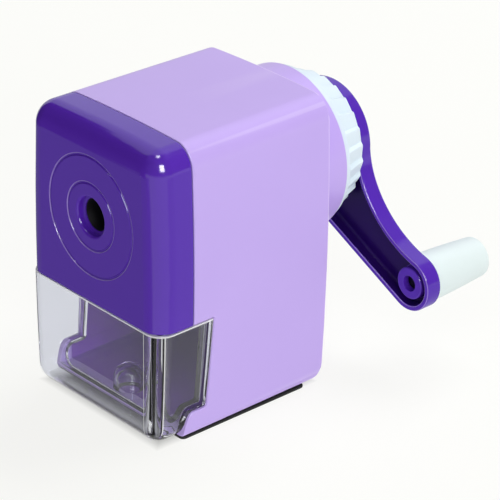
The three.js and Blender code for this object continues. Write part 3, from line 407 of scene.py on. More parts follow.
def make_nubs():
    """The two moulding nubs on the casing's rear wall, by name."""
    made = {}
    half, high = NUB_WIDTH / 2, NUB_LOW + NUB_HEIGHT
    for side, name in ((-1, "rear_nub_left"), (1, "rear_nub_right")):
        x = side * (WIDTH / 2 - NUB_X)
        nub = box(name, x - half, x + half, DEPTH + 0.02, DEPTH + NUB_RISE, NUB_LOW, high)
        soften(nub, SMALL_EDGE)
        made[name] = nub
    return made


def make_cap():
    """The front cap, hollow from the rear, with the flared pencil hole and the two grooves."""
    cap = front_block("cap_shell", 0, BOTTOM, CAP_FILLET, CAP_DEPTH)
    inner = front_block("cap_inner", WALL, BOTTOM, CAP_FILLET - WALL, CAP_DEPTH + 1)
    below = box("below", -SIDE, SIDE, OUT, SIDE, OUT, DRAWER_TOP + SEAM)
    cut(cap, inner, below)
    flare = [(0, -1), (MOUTH_R + MOUTH_FLARE, -1)]
    for a in steps_to(90, 6):
        flare.append((MOUTH_R + MOUTH_EDGE * (1 - math.sin(a)), MOUTH_EDGE * (1 - math.cos(a))))
    flare += [(MOUTH_R, WALL + 1), (0, WALL + 1)]
    cut(cap, turned("mouth", flare))
    join(cap, tube("liner", liner_profile()))
    for radius in GROOVE_RINGS:
        cut(cap, groove_ring(radius))
    soften(cap, CAP_EDGE, angle=40)
    keep_flat(cap, 0)
    return cap


def liner_profile():
    """A thin ring behind the hole that hides the front of the pencil guide."""
    narrow, wide = MOUTH_R - 1, MOUTH_R + 0.8
    front, back = WALL - 0.3, WALL + 0.18
    return [(narrow, WALL + 0.02), (wide, front), (wide, back), (narrow, back)]


def groove_ring(radius):
    """A ring with a round bottom that cuts a decorative groove."""
    sides, around = 144, 10
    verts, faces = [], []
    for i in range(sides):
        a = 2 * math.pi * i / sides
        for k in range(around):
            b = 2 * math.pi * k / around
            r = radius + GROOVE_R * math.cos(b)
            y = GROOVE_SINK + GROOVE_R * math.sin(b)
            verts.append((r * math.cos(a), y, AXIS_Z + r * math.sin(a)))
    for i in range(sides):
        for k in range(around):
            n, m = (i + 1) % sides, (k + 1) % around
            faces.append((i * around + k, n * around + k, n * around + m, i * around + m))
    return mesh_object("groove", verts, faces)


def tray_section(inset, top):
    """The tray's outline seen from the front, open at the top."""
    half = WIDTH / 2 - WALL - SEAM - WIDTH_DRAFT * DEPTH * WIDTH / 2 - inset
    radius = TRAY_R - inset
    bottom = TRAY_BOTTOM + inset
    points = [(half, top), (-half, top)]
    points += arc(-half + radius, bottom + radius, radius, 180, 270, 10)
    points += arc(half - radius, bottom + radius, radius, -90, 0, 10)
    return points


def dome(name, radius, height, y, bottom):
    """A round-headed post that stands at y."""
    profile = [(radius, bottom)]
    profile += [
        (radius * math.cos(a), bottom + height - radius + radius * math.sin(a))
        for a in steps_to(90, 10)
    ]
    profile[-1] = (0, profile[-1][1])
    return turned(name, profile, 40, (y, 0), upright=True)


def make_drawer():
    """Front with cheeks, a stepped web behind them, and the tray, in one wall of clear plastic."""
    top = DRAWER_TOP
    outer = front_block("drawer_shell", 0, DRAWER_LIFT, DRAWER_FILLET, CHEEK_DEPTH + 5)
    inner = front_block("drawer_inner", DRAWER_WALL, DRAWER_LIFT + DRAWER_WALL, DRAWER_CORNER, 40)
    lap = -CHEEK_LAP
    web = copy_of(outer)
    common(web, along_x("web_back", front_of_cheek(lap + TRAY_WALL, top + 1), WIDTH))
    cut(web, along_x("web_front", front_of_cheek(lap, top + 1), WIDTH - 1))
    cut(web, box("over", -SIDE, SIDE, OUT, SIDE, top, ABOVE))
    tray = along_y("tray", tray_section(0, top - TRAY_DROP), 0, TRAY_DEPTH)
    cut(tray, along_x("tray_front", front_of_cheek(lap, top + 2), WIDTH - 1))
    join(web, tray)
    cut(web, along_y("hollow", tray_section(TRAY_WALL, 2 * top), -10, TRAY_DEPTH - TRAY_WALL))
    cut(outer, inner)
    common(outer, along_x("front", front_of_cheek(0, top), WIDTH))
    post = CHEEK_TOE + 5
    join(outer, web, dome("dome", DOME_R, DOME_HEIGHT, post, TRAY_BOTTOM))
    cut(outer, dome("dome_hollow", DOME_R - DOME_WALL, DOME_HEIGHT - DOME_WALL, post, TRAY_BOTTOM - 1))
    soften(outer, DRAWER_EDGE, angle=40)
    return outer


def make_pad():
    """The pad under the casing, as large as the CAD's, with rounded corners."""
    box_low, box_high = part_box("base_pad")
    x = box_high.x * 1000
    y0, y1 = box_low.y * 1000 - FRONT, box_high.y * 1000 - FRONT
    r = PAD_R
    outline = arc(x - r, y0 + r, r, -90, 0, 6) + arc(x - r, y1 - r, r, 0, 90, 6)
    outline += arc(-x + r, y1 - r, r, 90, 180, 6) + arc(-x + r, y0 + r, r, 180, 270, 6)
    pad = loft("pad", [[(a, b, z) for a, b in outline] for z in (0, PAD)])
    soften(pad, SMALL_EDGE)
    return pad


# ---- Dial, crank and grip -------------------------------------------------------------------------
def make_dial():
    """A smooth rim, then a tapered skirt with saw-tooth scallops, hollow from the front."""
    rim = [(0, 24.0, 0), (0.3, 24.3, 0), (1.6, 24.3, 0), (1.9, 24.0, 0.1), (2.1, 23.35, 0.7)]
    skirt = [(2.4, 23.2, 1.0), (6.2, 21.9, 1.0)]
    back = [(-0.9, 20.75, 1.0), (-0.35, 20.45, 0.8), (0, 19.9, 0.4)]
    rows = [(DIAL_Y + y, radius, share) for y, radius, share in rim + skirt]
    rows += [(DIAL_END + y, radius, share) for y, radius, share in back]
    dial = loft("dial_body", [scalloped(*row) for row in rows])
    front, web = DIAL_Y - 1, DIAL_END - DIAL_WEB
    hollow = [(DIAL_HUB_R, front), (DIAL_HOLLOW_R, front), (DIAL_HOLLOW_R, web), (DIAL_HUB_R, web)]
    cut(dial, tube("dial_hollow", hollow))
    room = plug(WASHER_ROOM_R, front, DIAL_Y + WASHER_ROOM_DEPTH)
    bore = plug(DIAL_BORE_R, DIAL_Y - 2, DIAL_END + 1)
    cut(dial, turned("washer_room", room, 64), turned("dial_bore", bore, 64))
    smooth(dial, 35)
    return dial


def scalloped(y, radius, share, points=12):
    """One ring of the dial at y, with a share of the scallops' depth."""
    count = SCALLOPS * points
    ring = []
    for i in range(count):
        t = (i % points) / points
        rise = t / SCALLOP_RISE if t < SCALLOP_RISE else (1 - t) / (1 - SCALLOP_RISE)
        rise = rise * rise * (3 - 2 * rise) * 0.35 + rise * 0.65
        r = radius - SCALLOP_DEPTH * share * (1 - rise)
        a = 2 * math.pi * (i / count)
        ring.append((r * math.cos(a), y, AXIS_Z + r * math.sin(a)))
    return ring


def tube(name, profile, sides=96):
    """A closed ring from the [radius, y] corners of its section."""
    verts, faces = [], []
    n = len(profile)
    for i in range(sides):
        a = 2 * math.pi * i / sides
        verts += [(r * math.cos(a), y, AXIS_Z + r * math.sin(a)) for r, y in profile]
    for i in range(sides):
        for k in range(n):
            j, m = (i + 1) % sides, (k + 1) % n
            faces.append((i * n + k, j * n + k, j * n + m, i * n + m))
    return mesh_object(name, verts, faces)


def arm_outline(inset):
    """The crank arm about the crank axis: round hub, curved upper edge, round grip end."""
    hub, end = ARM_HUB_R - inset, ARM_END_R - inset
    edge = polar(1, ARM_EDGE_ANGLE)
    low_angle = ARM_EDGE_ANGLE + 90
    neck = plus((GRIP_X, GRIP_Z), polar(end, ARM_NECK_ANGLE))
    neck_pull = plus(neck, polar(-0.24 * CRANK_REACH, ARM_NECK_ANGLE - 90))
    low = plus((GRIP_X, GRIP_Z), polar(end, low_angle))
    turn = plus(low, edge, 0.6 * CRANK_REACH)
    turn_pull = plus(turn, edge, 0.25 * CRANK_REACH)
    points = arc(0, 0, hub, 0, 180, 48)
    points += cubic((-hub, 0), (-hub, -0.27 * CRANK_REACH), turn_pull, turn, 24)
    points += bend(turn, ((turn[0] + low[0]) / 2, (turn[1] + low[1]) / 2), low, 6)
    points += arc(GRIP_X, GRIP_Z, end, low_angle, ARM_NECK_ANGLE + 360, 36)[1:]
    points += cubic(neck, neck_pull, (hub + 1.5, -0.25 * CRANK_REACH), (hub, 0), 28)[:-1]
    return points


def polar(radius, degrees):
    a = math.radians(degrees)
    return (radius * math.cos(a), radius * math.sin(a))


def plus(point, step, scale=1):
    return (point[0] + scale * step[0], point[1] + scale * step[1])


def arm_ring(inset, y):
    return [(x, y, AXIS_Z + z) for x, z in arm_outline(inset)]


def boss(radius, y, base, edge):
    """[radius, y] profile of a boss that rises from the arm's floor towards the front."""
    return [(0, base + 1), (radius, base + 1), (radius, y + edge), (radius - edge, y), (0, y)]


def make_arm():
    """The channelled arm with its bosses, the squared hole for the shaft and the hole for the pin."""
    base = ARM_BACK - ARM_FLOOR
    rows = [(0.35, ARM_Y), (0.1, ARM_Y + 0.1), (0, ARM_Y + 0.35)]
    for a in steps_to(90, 6):
        rows.append((ARM_FILLET * (1 - math.cos(a)), ARM_BACK - ARM_FILLET + ARM_FILLET * math.sin(a)))
    arm = loft("arm_blank", [arm_ring(inset, y) for inset, y in rows])
    mouth = [(-0.3, ARM_Y - 1), (-0.3, ARM_Y - 0.02), (0, ARM_Y + 0.3)]
    foot = [(0.35, base - 0.9), (0.55, base - 0.4), (1.1, base)]
    cut(arm, loft("arm_pocket", [arm_ring(ARM_RIM + more, y) for more, y in mouth + foot]))

    grip_place = (GRIP_X, GRIP_Z)
    for_grip = boss(GRIP_BOSS_R, ARM_Y + GRIP_BOSS_SINK, base, 0.3)
    for_hub = boss(HUB_BOSS_R, ARM_Y, base, 0.2)
    top = ARM_BACK + REAR_BOSS_HEIGHT
    rear = [(0, base), (REAR_BOSS_R, base)] + round_edge(REAR_BOSS_R, top, REAR_BOSS_EDGE, 6) + [(0, top)]
    join(arm, turned("grip_boss", for_grip, 64, grip_place), turned("hub_boss", for_hub, 64))
    join(arm, turned("rear_boss", rear))

    low, high = AXIS_Z - SQUARE_HALF, AXIS_Z + SQUARE_HALF
    square = box("square", -SQUARE_HALF, SQUARE_HALF, ARM_Y - 1, ARM_Y + SQUARE_DEPTH, low, high)
    recess_y = ARM_Y + SQUARE_DEPTH + SCREW_SEAT
    hole = plug(SCREW_HOLE_R, ARM_Y - 2, recess_y + 1)
    recess = plug(RECESS_R, recess_y, ARM_BACK + 4)
    head = plug(PIN_HEAD_R, ARM_Y - 2, base)
    pin = plug(PIN_R, ARM_Y - 3, ARM_BACK + 1)
    cut(arm, square, turned("screw_hole", hole, 40), turned("recess", recess, 80))
    cut(arm, turned("pin_head", head, 48, grip_place), turned("pin_hole", pin, 40, grip_place))
    soften(arm, ARM_EDGE, angle=40)
    mark_channel(arm)
    return arm


def mark_channel(arm):
    """Gives the faces inside the channel the second material, a darker purple painted as the channel's
    shade.
    """
    outline = arm_outline(0.9)
    for face in arm.data.polygons:
        x, y, z = face.center * 1000
        deep = ARM_Y + 0.9 < y - FRONT < ARM_BACK - 1.8
        near_grip = math.hypot(x - GRIP_X, z - AXIS_Z - GRIP_Z) < GRIP_BOSS_R + 0.15
        if deep and not near_grip and encloses(outline, x, z - AXIS_Z):
            face.material_index = 1


def encloses(outline, x, z):
    """Whether a closed outline goes round the point."""
    inside = False
    for (ax, az), (bx, bz) in zip(outline, outline[1:] + outline[:1]):
        if (az > z) != (bz > z) and x < (bx - ax) * (z - az) / (bz - az) + ax:
            inside = not inside
    return inside


def make_hub_cap():
    """The disc that closes the recess over the crank's screw."""
    y = ARM_BACK + REAR_BOSS_HEIGHT
    front = y - HUB_CAP_THICKNESS
    profile = [(0, front), (HUB_CAP_R, front)]
    profile += round_edge(HUB_CAP_R, y, HUB_CAP_EDGE, 4) + [(0.02, y)]
    cap = turned("hub_disc", profile, 80)
    smooth(cap)
    return cap


def make_grip():
    """The tapered grip, bored from the front for its pin."""
    y0, y1 = GRIP_BOX[0].y * 1000 - FRONT, GRIP_BOX[1].y * 1000 - FRONT
    base, foot = GRIP_BASE_R, 0.5
    bottom = y1 - GRIP_CLOSED
    profile = [(0.02, bottom), (PIN_R, bottom), (PIN_R, y0)]
    profile += [(base - foot, y0), (base - 0.15, y0 + 0.15), (base, y0 + foot)]
    for i in range(1, 9):
        t = i / 9
        radius = base + (GRIP_END_R - base) * t + GRIP_SWELL * math.sin(math.pi * t)
        profile.append((radius, y0 + foot + (y1 - y0 - foot - GRIP_EDGE) * t))
    profile += round_edge(GRIP_END_R, y1, GRIP_EDGE, 6) + [(0.02, y1)]
    grip = turned("grip_body", profile, place=(GRIP_X, GRIP_Z))
    smooth(grip)
    return grip


# ---- Materials ------------------------------------------------------------------------------------
class Graph:
    """A node material built in a few words."""

    def __init__(self, name):
        self.material = bpy.data.materials.new(name)
        self.material.use_nodes = True
        self.nodes = self.material.node_tree.nodes
        self.links = self.material.node_tree.links
        self.nodes.clear()
        self.out = self.nodes.new("ShaderNodeOutputMaterial")
        self.shader = self.nodes.new("ShaderNodeBsdfPrincipled")
        self.links.new(self.shader.outputs[0], self.out.inputs["Surface"])
        self.place = self.nodes.new("ShaderNodeTexCoord").outputs["Object"]

    def feed(self, socket, value):
        """Links another node's output to the socket, or sets a plain value on it."""
        if isinstance(value, bpy.types.NodeSocket):
            self.links.new(value, socket)
        else:
            socket.default_value = value

    def new(self, kind, **inputs):
        node = self.nodes.new("ShaderNode" + kind)
        for key, value in inputs.items():
            self.feed(node.inputs[key.replace("_", " ")], value)
        return node

    def noise(self, scale, detail=3.0, roughness=0.5):
        node = self.new("TexNoise", Vector=self.place, Scale=scale, Detail=detail, Roughness=roughness)
        return node.outputs["Fac"]

    def ramp(self, factor, low, high, start=0.0, end=1.0):
        """Goes from low to high while the factor goes from start to end."""
        node = self.nodes.new("ShaderNodeMapRange")
        self.links.new(factor, node.inputs["Value"])
        for key, value in (("From Min", start), ("From Max", end), ("To Min", low), ("To Max", high)):
            node.inputs[key].default_value = value
        return node.outputs["Result"]

    def mix(self, factor, a, b):
        node = self.nodes.new("ShaderNodeMix")
        node.data_type = "RGBA"
        share = next(s for s in node.inputs if s.name == "Factor" and s.type == "VALUE")
        colours = [s for s in node.inputs if s.type == "RGBA"]
        for socket, value in zip([share] + colours, (factor, a, b)):
            self.feed(socket, value)
        return next(s for s in node.outputs if s.type == "RGBA")

    def split(self, vector):
        node = self.nodes.new("ShaderNodeSeparateXYZ")
        self.links.new(vector, node.inputs[0])
        return node.outputs

    def maths(self, operation, *values):
        node = self.nodes.new("ShaderNodeMath")
        node.operation = operation
        for socket, value in zip(node.inputs, values):
            self.feed(socket, value)
        return node.outputs[0]

    def circle_line(self, radius, width):
        """1 on a thin circle round the crank axis on the front face, else 0."""
        x, y, z = self.split(self.place)
        up = self.maths("SUBTRACT", z, AXIS_Z / 1000)
        squares = self.maths("ADD", self.maths("MULTIPLY", x, x), self.maths("MULTIPLY", up, up))
        away = self.maths("SUBTRACT", self.maths("SQRT", squares), radius / 1000)
        away = self.maths("ABSOLUTE", away)
        near = self.ramp(away, 1.0, 0.0, width / 2000, width / 1000)
        return self.maths("MULTIPLY", near, self.maths("LESS_THAN", y, (FRONT + 0.6) / 1000))

    def edges(self, low=0.56, high=0.66):
        """Where the surface is convex, for edges lighter from rubbing and from a painted highlight."""
        point = self.nodes.new("ShaderNodeNewGeometry").outputs["Pointiness"]
        return self.ramp(point, 0.0, 1.0, low, high)

    def bump(self, height, strength, distance):
        node = self.new("Bump", Strength=strength, Distance=distance, Height=height)
        self.links.new(node.outputs[0], self.shader.inputs["Normal"])

    def set(self, **values):
        for key, value in values.items():
            self.feed(self.shader.inputs[key.replace("_", " ")], value)


def plastic(name, dark, light, worn_and_highlight, rough=(0.2, 0.3), grain=900, bump=0.06, wear_and_highlight=0.35, masks=(), **extra):
    """Moulded plastic: faint flow marks in the colour, fine grain in the surface, and pale edges,
    lighter from rubbing and from a painted highlight.

    Each mask is a function of the graph that gives a share, and the colour it brings in; the masks
    used here paint shade and highlight lines.
    """
    g = Graph(name)
    flow = g.noise(28, 2.0)
    colour = g.mix(g.ramp(flow, 0, 1, 0.1, 0.9), dark, light)
    # Convex edges paler: partly from rubbing, partly a painted highlight.
    colour = g.mix(g.ramp(g.edges(), 0.0, wear_and_highlight), colour, worn_and_highlight)
    for share, tint in masks:
        colour = g.mix(share(g), colour, tint)
    smudge = g.noise(45, 1.0)
    g.set(Base_Color=colour, Roughness=g.ramp(smudge, rough[0], rough[1], 0.1, 0.9), **extra)
    g.bump(g.noise(grain, 2.0), bump, 0.0001)
    return g.material


def groove_highlights(g):
    """Painted highlight lines along the outer edges of the two grooves."""
    outer, inner = [g.circle_line(radius + 0.35, 0.16) for radius in GROOVE_RINGS]
    return g.maths("MULTIPLY", 0.75, g.maths("MAXIMUM", outer, inner))


def within(g, value, low, high):
    """1 between two places in millimetres, else 0."""
    above = g.maths("GREATER_THAN", value, low / 1000)
    return g.maths("MULTIPLY", above, g.maths("LESS_THAN", value, high / 1000))


def inside_casing_shade(g):
    """Inner walls painted darker, as shade where light only arrives off the other walls."""
    x, y, z = g.split(g.place)
    across = within(g, g.maths("ABSOLUTE", x), -1, WIDTH / 2 - 1.1)
    deep = within(g, y, FRONT + CAP_DEPTH + 1, FRONT + DEPTH - 1.1)
    return g.maths("MULTIPLY", g.maths("MULTIPLY", across, deep), within(g, z, BOTTOM + 0.9, 60))


def rear_edge_highlights(g):
    """Painted highlight lines along the outline of the casing's rear."""
    x, y, z = g.split(g.place)
    half = WIDTH / 2 * (1 - WIDTH_DRAFT * DEPTH)
    side = g.ramp(g.maths("ABSOLUTE", x), 0.0, 1.0, (half - 0.35) / 1000, (half - 0.15) / 1000)
    top = g.ramp(z, 0.0, 1.0, (HEIGHT - 0.2) / 1000, HEIGHT / 1000)
    last = g.ramp(y, 0.0, 1.0, (FRONT + DEPTH - 0.45) / 1000, (FRONT + DEPTH - 0.25) / 1000)
    before = g.maths("LESS_THAN", y, (FRONT + DEPTH + 0.1) / 1000)
    return g.maths("MULTIPLY", g.maths("MULTIPLY", g.maths("MAXIMUM", side, top), before), last)


def arm_rim_highlights(g):
    """Painted highlight lines along the edges of the crank arm's rim."""
    y = g.split(g.place)[1]
    return g.maths("MULTIPLY", 0.7, within(g, y, FRONT + ARM_Y + 0.03, FRONT + ARM_Y + 0.2))


def metal(name, dark, light, rough=(0.22, 0.4)):
    """Machined metal: a fine grain and dull patches."""
    g = Graph(name)
    marks = g.noise(700, 2.0)
    dull = g.noise(90, 4.0)
    g.set(
        Base_Color=g.mix(g.ramp(dull, 0, 1, 0.35, 0.65), dark, light),
        Roughness=g.ramp(marks, rough[0], rough[1], 0.3, 0.7),
        Metallic=1.0,
    )
    g.bump(marks, 0.12, 0.0001)
    return g.material


def srgb(*display):
    """Linear colour from display values."""
    linear = []
    for value in display:
        v = value / 255
        linear.append(v / 12.92 if v <= 0.04045 else ((v + 0.055) / 1.055) ** 2.4)
    return (*linear, 1.0)


# Painted highlight lines where the drawer's rounded corners catch the light:
# behind the front, right of the middle, and up.
SIDE_LINE, FRONT_LINE, FOOT_LINE = (2.75, 3.05), (22.6, 22.85), (2.0, 2.2)


def clear_plastic():
    """Clear polystyrene with faint flow ripples, handling marks, and pale edges that are painted
    highlights.
    """
    g = Graph("clear_polystyrene")
    haze = g.noise(140, 4.0, 0.6)
    x, y, z = g.split(g.place)
    # Painted highlights: a pale band under the top rim, pale lines at the rounded corners and pale convex
    # edges.
    rim = g.ramp(z, 0.0, 1.0, (DRAWER_TOP - 0.55) / 1000, (DRAWER_TOP - 0.35) / 1000)
    on_side = g.maths("GREATER_THAN", g.maths("ABSOLUTE", x), 0.027)
    on_front = g.maths("LESS_THAN", y, (FRONT + 0.4) / 1000)
    near_front = g.maths("LESS_THAN", y, (FRONT + 3) / 1000)
    side_line = g.maths("MULTIPLY", within(g, y, FRONT + SIDE_LINE[0], FRONT + SIDE_LINE[1]), on_side)
    front_line = g.maths("MULTIPLY", within(g, x, *FRONT_LINE), on_front)
    foot_line = g.maths("MULTIPLY", within(g, z, *FOOT_LINE), near_front)
    lines = g.maths("MAXIMUM", g.maths("MAXIMUM", side_line, front_line), foot_line)
    pale_edge_highlight = g.maths("MAXIMUM", g.ramp(g.edges(0.56, 0.62), 0.0, 1.0), rim)
    pale_edge_highlight = g.maths("MAXIMUM", pale_edge_highlight, g.maths("MULTIPLY", lines, 0.9))
    tone = g.mix(g.noise(20, 1.0), (0.86, 0.875, 0.93, 1), (0.9, 0.91, 0.95, 1))
    g.set(
        Base_Color=g.mix(pale_edge_highlight, tone, (0.95, 0.95, 0.97, 1)),
        Roughness=g.ramp(haze, 0.0, 0.03, 0.45, 0.75),
        IOR=1.52,
        Transmission_Weight=g.maths("SUBTRACT", 1.0, g.maths("MULTIPLY", pale_edge_highlight, 0.7)),
    )
    g.bump(g.noise(34, 1.0), 0.04, 0.0006)
    return g.material


# Painted shade for the casing's inner walls, and painted highlight lines for the casing's rear outline,
# the crank arm's rim and the grooves.
SHADED_LILAC, HIGHLIGHT_LILAC = (0.2, 0.04, 0.5, 1), (0.8, 0.7, 0.95, 1)
HIGHLIGHT_ARM_PURPLE, HIGHLIGHT_RING_PURPLE = (0.36, 0.24, 0.66, 1), (0.42, 0.3, 0.72, 1)

# Lilac, with painted shade on the inner walls and painted highlight lines on the rear outline.
LILAC = plastic(
    "lilac_polystyrene",
    srgb(188, 163, 232),
    srgb(193, 168, 236),
    srgb(220, 205, 246),
    rough=(0.27, 0.33),
    grain=420,
    bump=0.02,
    masks=((inside_casing_shade, SHADED_LILAC), (rear_edge_highlights, HIGHLIGHT_LILAC)),
    Specular_IOR_Level=0.5,
)
# Purple, with painted highlight lines on the crank arm's rim.
PURPLE = plastic(
    "purple_polystyrene",
    srgb(80, 37, 170),
    srgb(84, 40, 175),
    srgb(112, 74, 196),
    rough=(0.08, 0.15),
    grain=500,
    bump=0.02,
    wear_and_highlight=0.3,
    masks=((arm_rim_highlights, HIGHLIGHT_ARM_PURPLE),),
    Specular_IOR_Level=0.5,
)
WHITE = plastic(
    "cool_white_plastic",
    srgb(213, 227, 237),
    srgb(219, 232, 241),
    srgb(236, 242, 247),
    rough=(0.34, 0.44),
    grain=900,
    bump=0.05,
)
GRIP_WHITE = plastic(
    "warm_white_plastic",
    srgb(219, 231, 231),
    srgb(226, 237, 236),
    srgb(238, 244, 243),
    rough=(0.36, 0.48),
    grain=900,
    bump=0.06,
)
BLACK = plastic(
    "black_acetal", srgb(9, 8, 12), srgb(14, 13, 17), srgb(40, 38, 44), rough=(0.45, 0.6), bump=0.1
)
RUBBER = plastic(
    "black_foam_rubber", srgb(5, 5, 6), srgb(9, 9, 10), srgb(24, 24, 26), rough=(0.7, 0.85), bump=0.5
)
STEEL = metal("bright_steel", srgb(150, 152, 156), srgb(186, 188, 192))
TOOL_STEEL = metal("tool_steel", srgb(118, 119, 124), srgb(160, 161, 165), rough=(0.2, 0.34))
BRASS = metal("sintered_bronze", srgb(150, 118, 62), srgb(186, 150, 84), rough=(0.3, 0.5))
# Steel painted dark, as the shade in the hole of the grip's boss where the pin sits.
PIN_SHADE_STEEL = metal("steel_painted_dark_for_shade", srgb(22, 20, 30), srgb(34, 31, 42), rough=(0.35, 0.5))
CLEAR = clear_plastic()
# A darker copy of the purple: painted shade for the inside of the crank arm's channel.
SHADE_PURPLE = plastic(
    "purple_polystyrene_in_shade",
    srgb(30, 4, 78),
    srgb(34, 6, 84),
    srgb(70, 30, 140),
    rough=(0.2, 0.3),
    grain=500,
    bump=0.02,
    Specular_IOR_Level=0.2,
)
# The cap's purple, with painted highlight lines round the grooves.
CAP_PURPLE = plastic(
    "ringed_purple_polystyrene",
    srgb(80, 36, 166),
    srgb(84, 39, 171),
    srgb(112, 74, 196),
    rough=(0.08, 0.15),
    grain=500,
    bump=0.02,
    wear_and_highlight=0.3,
    masks=((groove_highlights, HIGHLIGHT_RING_PURPLE),),
    Specular_IOR_Level=0.5,
)


# ---- Pieces ---------------------------------------------------------------------------------------
def place(piece, name, materials, slot, body, *nodes):
    """Names a piece, gives it its materials and puts it on its body in place of the CAD nodes."""
    piece.name = name
    piece.data.name = name
    indices = [face.material_index for face in piece.data.polygons]
    piece.data.materials.clear()
    for material in materials:
        piece.data.materials.append(material)
    if len(materials) > 1:
        piece.data.polygons.foreach_set("material_index", indices)
    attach(piece, body)
    if nodes:
        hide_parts(*nodes)


place(make_casing(), "casing_body", [LILAC], "lilac_plastic", "body", "casing")
for name, nub in make_nubs().items():
    place(nub, name, [LILAC], "lilac_plastic", "body")
place(make_cap(), "cap_body", [CAP_PURPLE], "purple_plastic", "body", "front_cap")
drawer = make_drawer()  # clear, so it takes no light from what stands behind it
drawer.visible_shadow = False
drawer.visible_diffuse = False
place(drawer, "drawer_body", [CLEAR], "clear_plastic", "drawer", "drawer")
place(make_pad(), "pad_body", [RUBBER], "rubber", "body", "base_pad")
place(make_dial(), "dial_body", [WHITE], "white_plastic", "dial", "point_dial")
place(make_arm(), "arm_body", [PURPLE, SHADE_PURPLE], "purple_plastic", "crank", "crank_arm")
place(make_hub_cap(), "hub_disc", [PURPLE], "purple_plastic", "crank", "hub_cap")
place(make_grip(), "grip_body", [GRIP_WHITE], "white_plastic", "grip", "grip")

# The CAD nodes that stay as they are; those not named here are bright steel.
FINISH = {
    # The grip pin is painted dark as the shade in its hole.
    "grip_pin": PIN_SHADE_STEEL,
    "pencil_guide": BLACK,
    "barrel": BLACK,
    "rear_bearing": BLACK,
    "cutter_carrier": BLACK,
    "ring_gear": BRASS,
    "cutter_pinion": BRASS,
    "helical_cutter": TOOL_STEEL,
}
for name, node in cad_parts.items():
    if node.hide_render:
        continue
    node.data.materials.clear()
    node.data.materials.append(FINISH.get(name, STEEL))
    node.data.shade_smooth()
    split = node.modifiers.new("crisp", "EDGE_SPLIT")
    split.split_angle = math.radians(32)


# ---- Stage ----------------------------------------------------------------------------------------
SKY = 0.16
COOL_WHITE = (0.97, 0.98, 1.0, 1)
# The floor's glow: low under the object as a painted shadow, high in the open.
FLOOR_GLOW_PAINTED_SHADOW, FLOOR_GLOW_OPEN = 0.05, 0.835
LIGHT_TARGET = Vector((0, 0, 0.045))
CARD_MIDDLE = 85  # height of the curved cards' centre


def make_floor():
    """A pale floor that glows, with a painted shadow where the object stands close over it."""
    reach = 3000
    corners = [(-reach, -reach, 0), (reach, -reach, 0), (reach, reach, 0), (-reach, reach, 0)]
    floor = mesh_object("floor", corners, [(0, 1, 2, 3)])
    floor.location.z = -0.0001
    g = Graph("pale_floor")
    x, y, _ = g.split(g.place)
    side = g.maths("SUBTRACT", g.maths("ABSOLUTE", x), WIDTH / 2000)
    along = g.maths("SUBTRACT", y, (FRONT + DEPTH / 2) / 1000)
    ends = g.maths("SUBTRACT", g.maths("ABSOLUTE", along), DEPTH / 2000)
    outside = g.maths("MAXIMUM", side, ends)
    # Painted shadow: the glow drops under the object's footprint.
    lit = g.ramp(outside, FLOOR_GLOW_PAINTED_SHADOW, FLOOR_GLOW_OPEN, -0.009, -0.001)
    tone = g.noise(3, 2.0)
    g.set(
        Base_Color=g.mix(tone, (0.14, 0.142, 0.135, 1), (0.16, 0.162, 0.155, 1)),
        Roughness=0.9,
        Specular_IOR_Level=0.0,
        Emission_Color=(1.0, 1.0, 0.975, 1),
        Emission_Strength=lit,
    )
    floor.data.materials.append(g.material)


def area(name, direction, distance, size, power):
    """A softbox in a direction from the object, facing it."""
    light = bpy.data.lights.new(name, "AREA")
    light.shape = "RECTANGLE"
    light.size, light.size_y = size
    light.energy = power
    lamp = bpy.data.objects.new(name, light)
    bpy.context.scene.collection.objects.link(lamp)
    aim = Vector(direction).normalized()
    lamp.location = LIGHT_TARGET + aim * distance
    lamp.rotation_euler = (-aim).to_track_quat("-Z", "Y").to_euler()
    return lamp


def make_world():
    world = bpy.data.worlds.new("studio")
    world.use_nodes = True
    background = world.node_tree.nodes["Background"]
    background.inputs["Color"].default_value = COOL_WHITE
    background.inputs["Strength"].default_value = SKY
    bpy.context.scene.world = world


def make_floor_cards():
    """Grey cards on the floor round the object, seen only in reflections."""
    for name, x0, x1, y0, y1, glow in (
        ("front_card", -330, 28, -300, -0.5, 0.27),
        ("left_card", -330, -32, -0.5, 60, 0.27),
        ("right_card", 29, 330, 0, 330, 0.6),
    ):
        corners = [(x0, y0, 0.2), (x1, y0, 0.2), (x1, y1, 0.2), (x0, y1, 0.2)]
        show_in_mirrors(mesh_object(name, corners, [(0, 1, 2, 3)]), glow)


def show_in_mirrors(card, glow, tint=COOL_WHITE, through_glass=False):
    """Makes a card glow, and hides it from every ray but the reflected ones."""
    g = Graph(card.name)
    tone = g.noise(5, 1.0)
    g.set(
        Base_Color=g.mix(tone, (0.012, 0.01, 0.02, 1), (0.02, 0.016, 0.03, 1)),
        Roughness=1.0,
        Specular_IOR_Level=0.0,
        Emission_Color=tint,
        Emission_Strength=glow,
    )
    card.data.materials.append(g.material)
    for ray in ("camera", "diffuse", "shadow", "transmission"):
        setattr(card, "visible_" + ray, ray == "transmission" and through_glass)


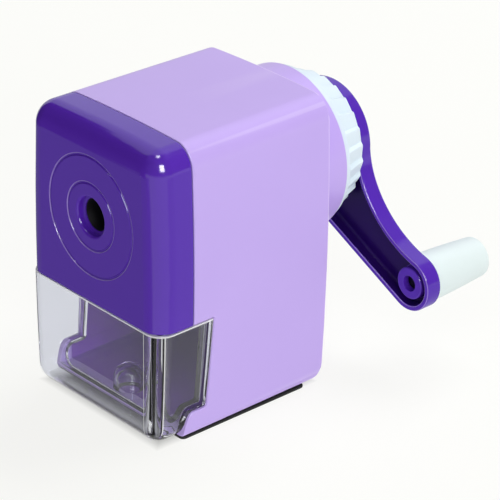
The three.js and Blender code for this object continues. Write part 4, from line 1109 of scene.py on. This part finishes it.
def make_card(name, radius, azimuth, low, high, glow, **look):
    """A curved card of a photographer's set, seen only in reflections."""
    verts, faces = [], []
    columns, rows = 24, 8
    first, last = azimuth
    for i in range(columns + 1):
        a = math.radians(first + (last - first) * i / columns)
        for k in range(rows + 1):
            e = math.radians(low + (high - low) * k / rows)
            reach = radius * math.cos(e)
            up = CARD_MIDDLE + radius * math.sin(e)
            verts.append((reach * math.cos(a), reach * math.sin(a), up))
    for i in range(columns):
        for k in range(rows):
            n = i * (rows + 1) + k
            faces.append((n, n + 1, n + rows + 2, n + rows + 1))
    show_in_mirrors(mesh_object(name, verts, faces), glow, **look)


def make_camera():
    """A long lens that looks down on the object from the front right."""
    forward = Vector((-0.6601, 0.6023, -0.4488)).normalized()
    right = Vector((0.6679, 0.7440, 0.0161)).normalized()
    up = right.cross(forward).normalized()
    turn = Matrix((right, up, -forward)).transposed().to_4x4()
    camera = bpy.data.cameras.new("camera")
    camera.lens = 183.384
    camera.sensor_width = 36
    camera.clip_start = 0.01
    made = bpy.data.objects.new("camera", camera)
    bpy.context.scene.collection.objects.link(made)
    made.matrix_world = Matrix.Translation((0.49556, -0.39242 + FRONT / 1000, 0.3705)) @ turn
    bpy.context.scene.camera = made


make_floor()
make_world()
make_floor_cards()
make_card("dark_card", 230, (172, 262), -21, 47, 0.06, tint=(0.5, 0.3, 1.0, 1), through_glass=True)
make_card("white_card", 700, (85, 205), 3, 88, 0.95)
make_camera()
for light in (
    ("top_back", (0.0, 0.6, 0.8), 1.6, (1.3, 1.0), 22.0),
    ("right_front", (0.95, -0.22, 0.27), 1.4, (0.7, 0.7), 8.2),
    ("key_front", (0.48, -0.54, 0.69), 1.2, (0.55, 0.5), 2.2),
):
    area(*light).visible_glossy = False
# These two only make the small highlights.
for light in (
    ("sparkle", (0.76, -0.33, 0.56), 1.2, (0.42, 0.6), 18.0),
    ("overhead", (0.0, -0.06, 1.0), 1.2, (0.3, 0.3), 4.0),
):
    area(*light).visible_diffuse = False

bpy.context.scene.view_settings.view_transform = "Standard"
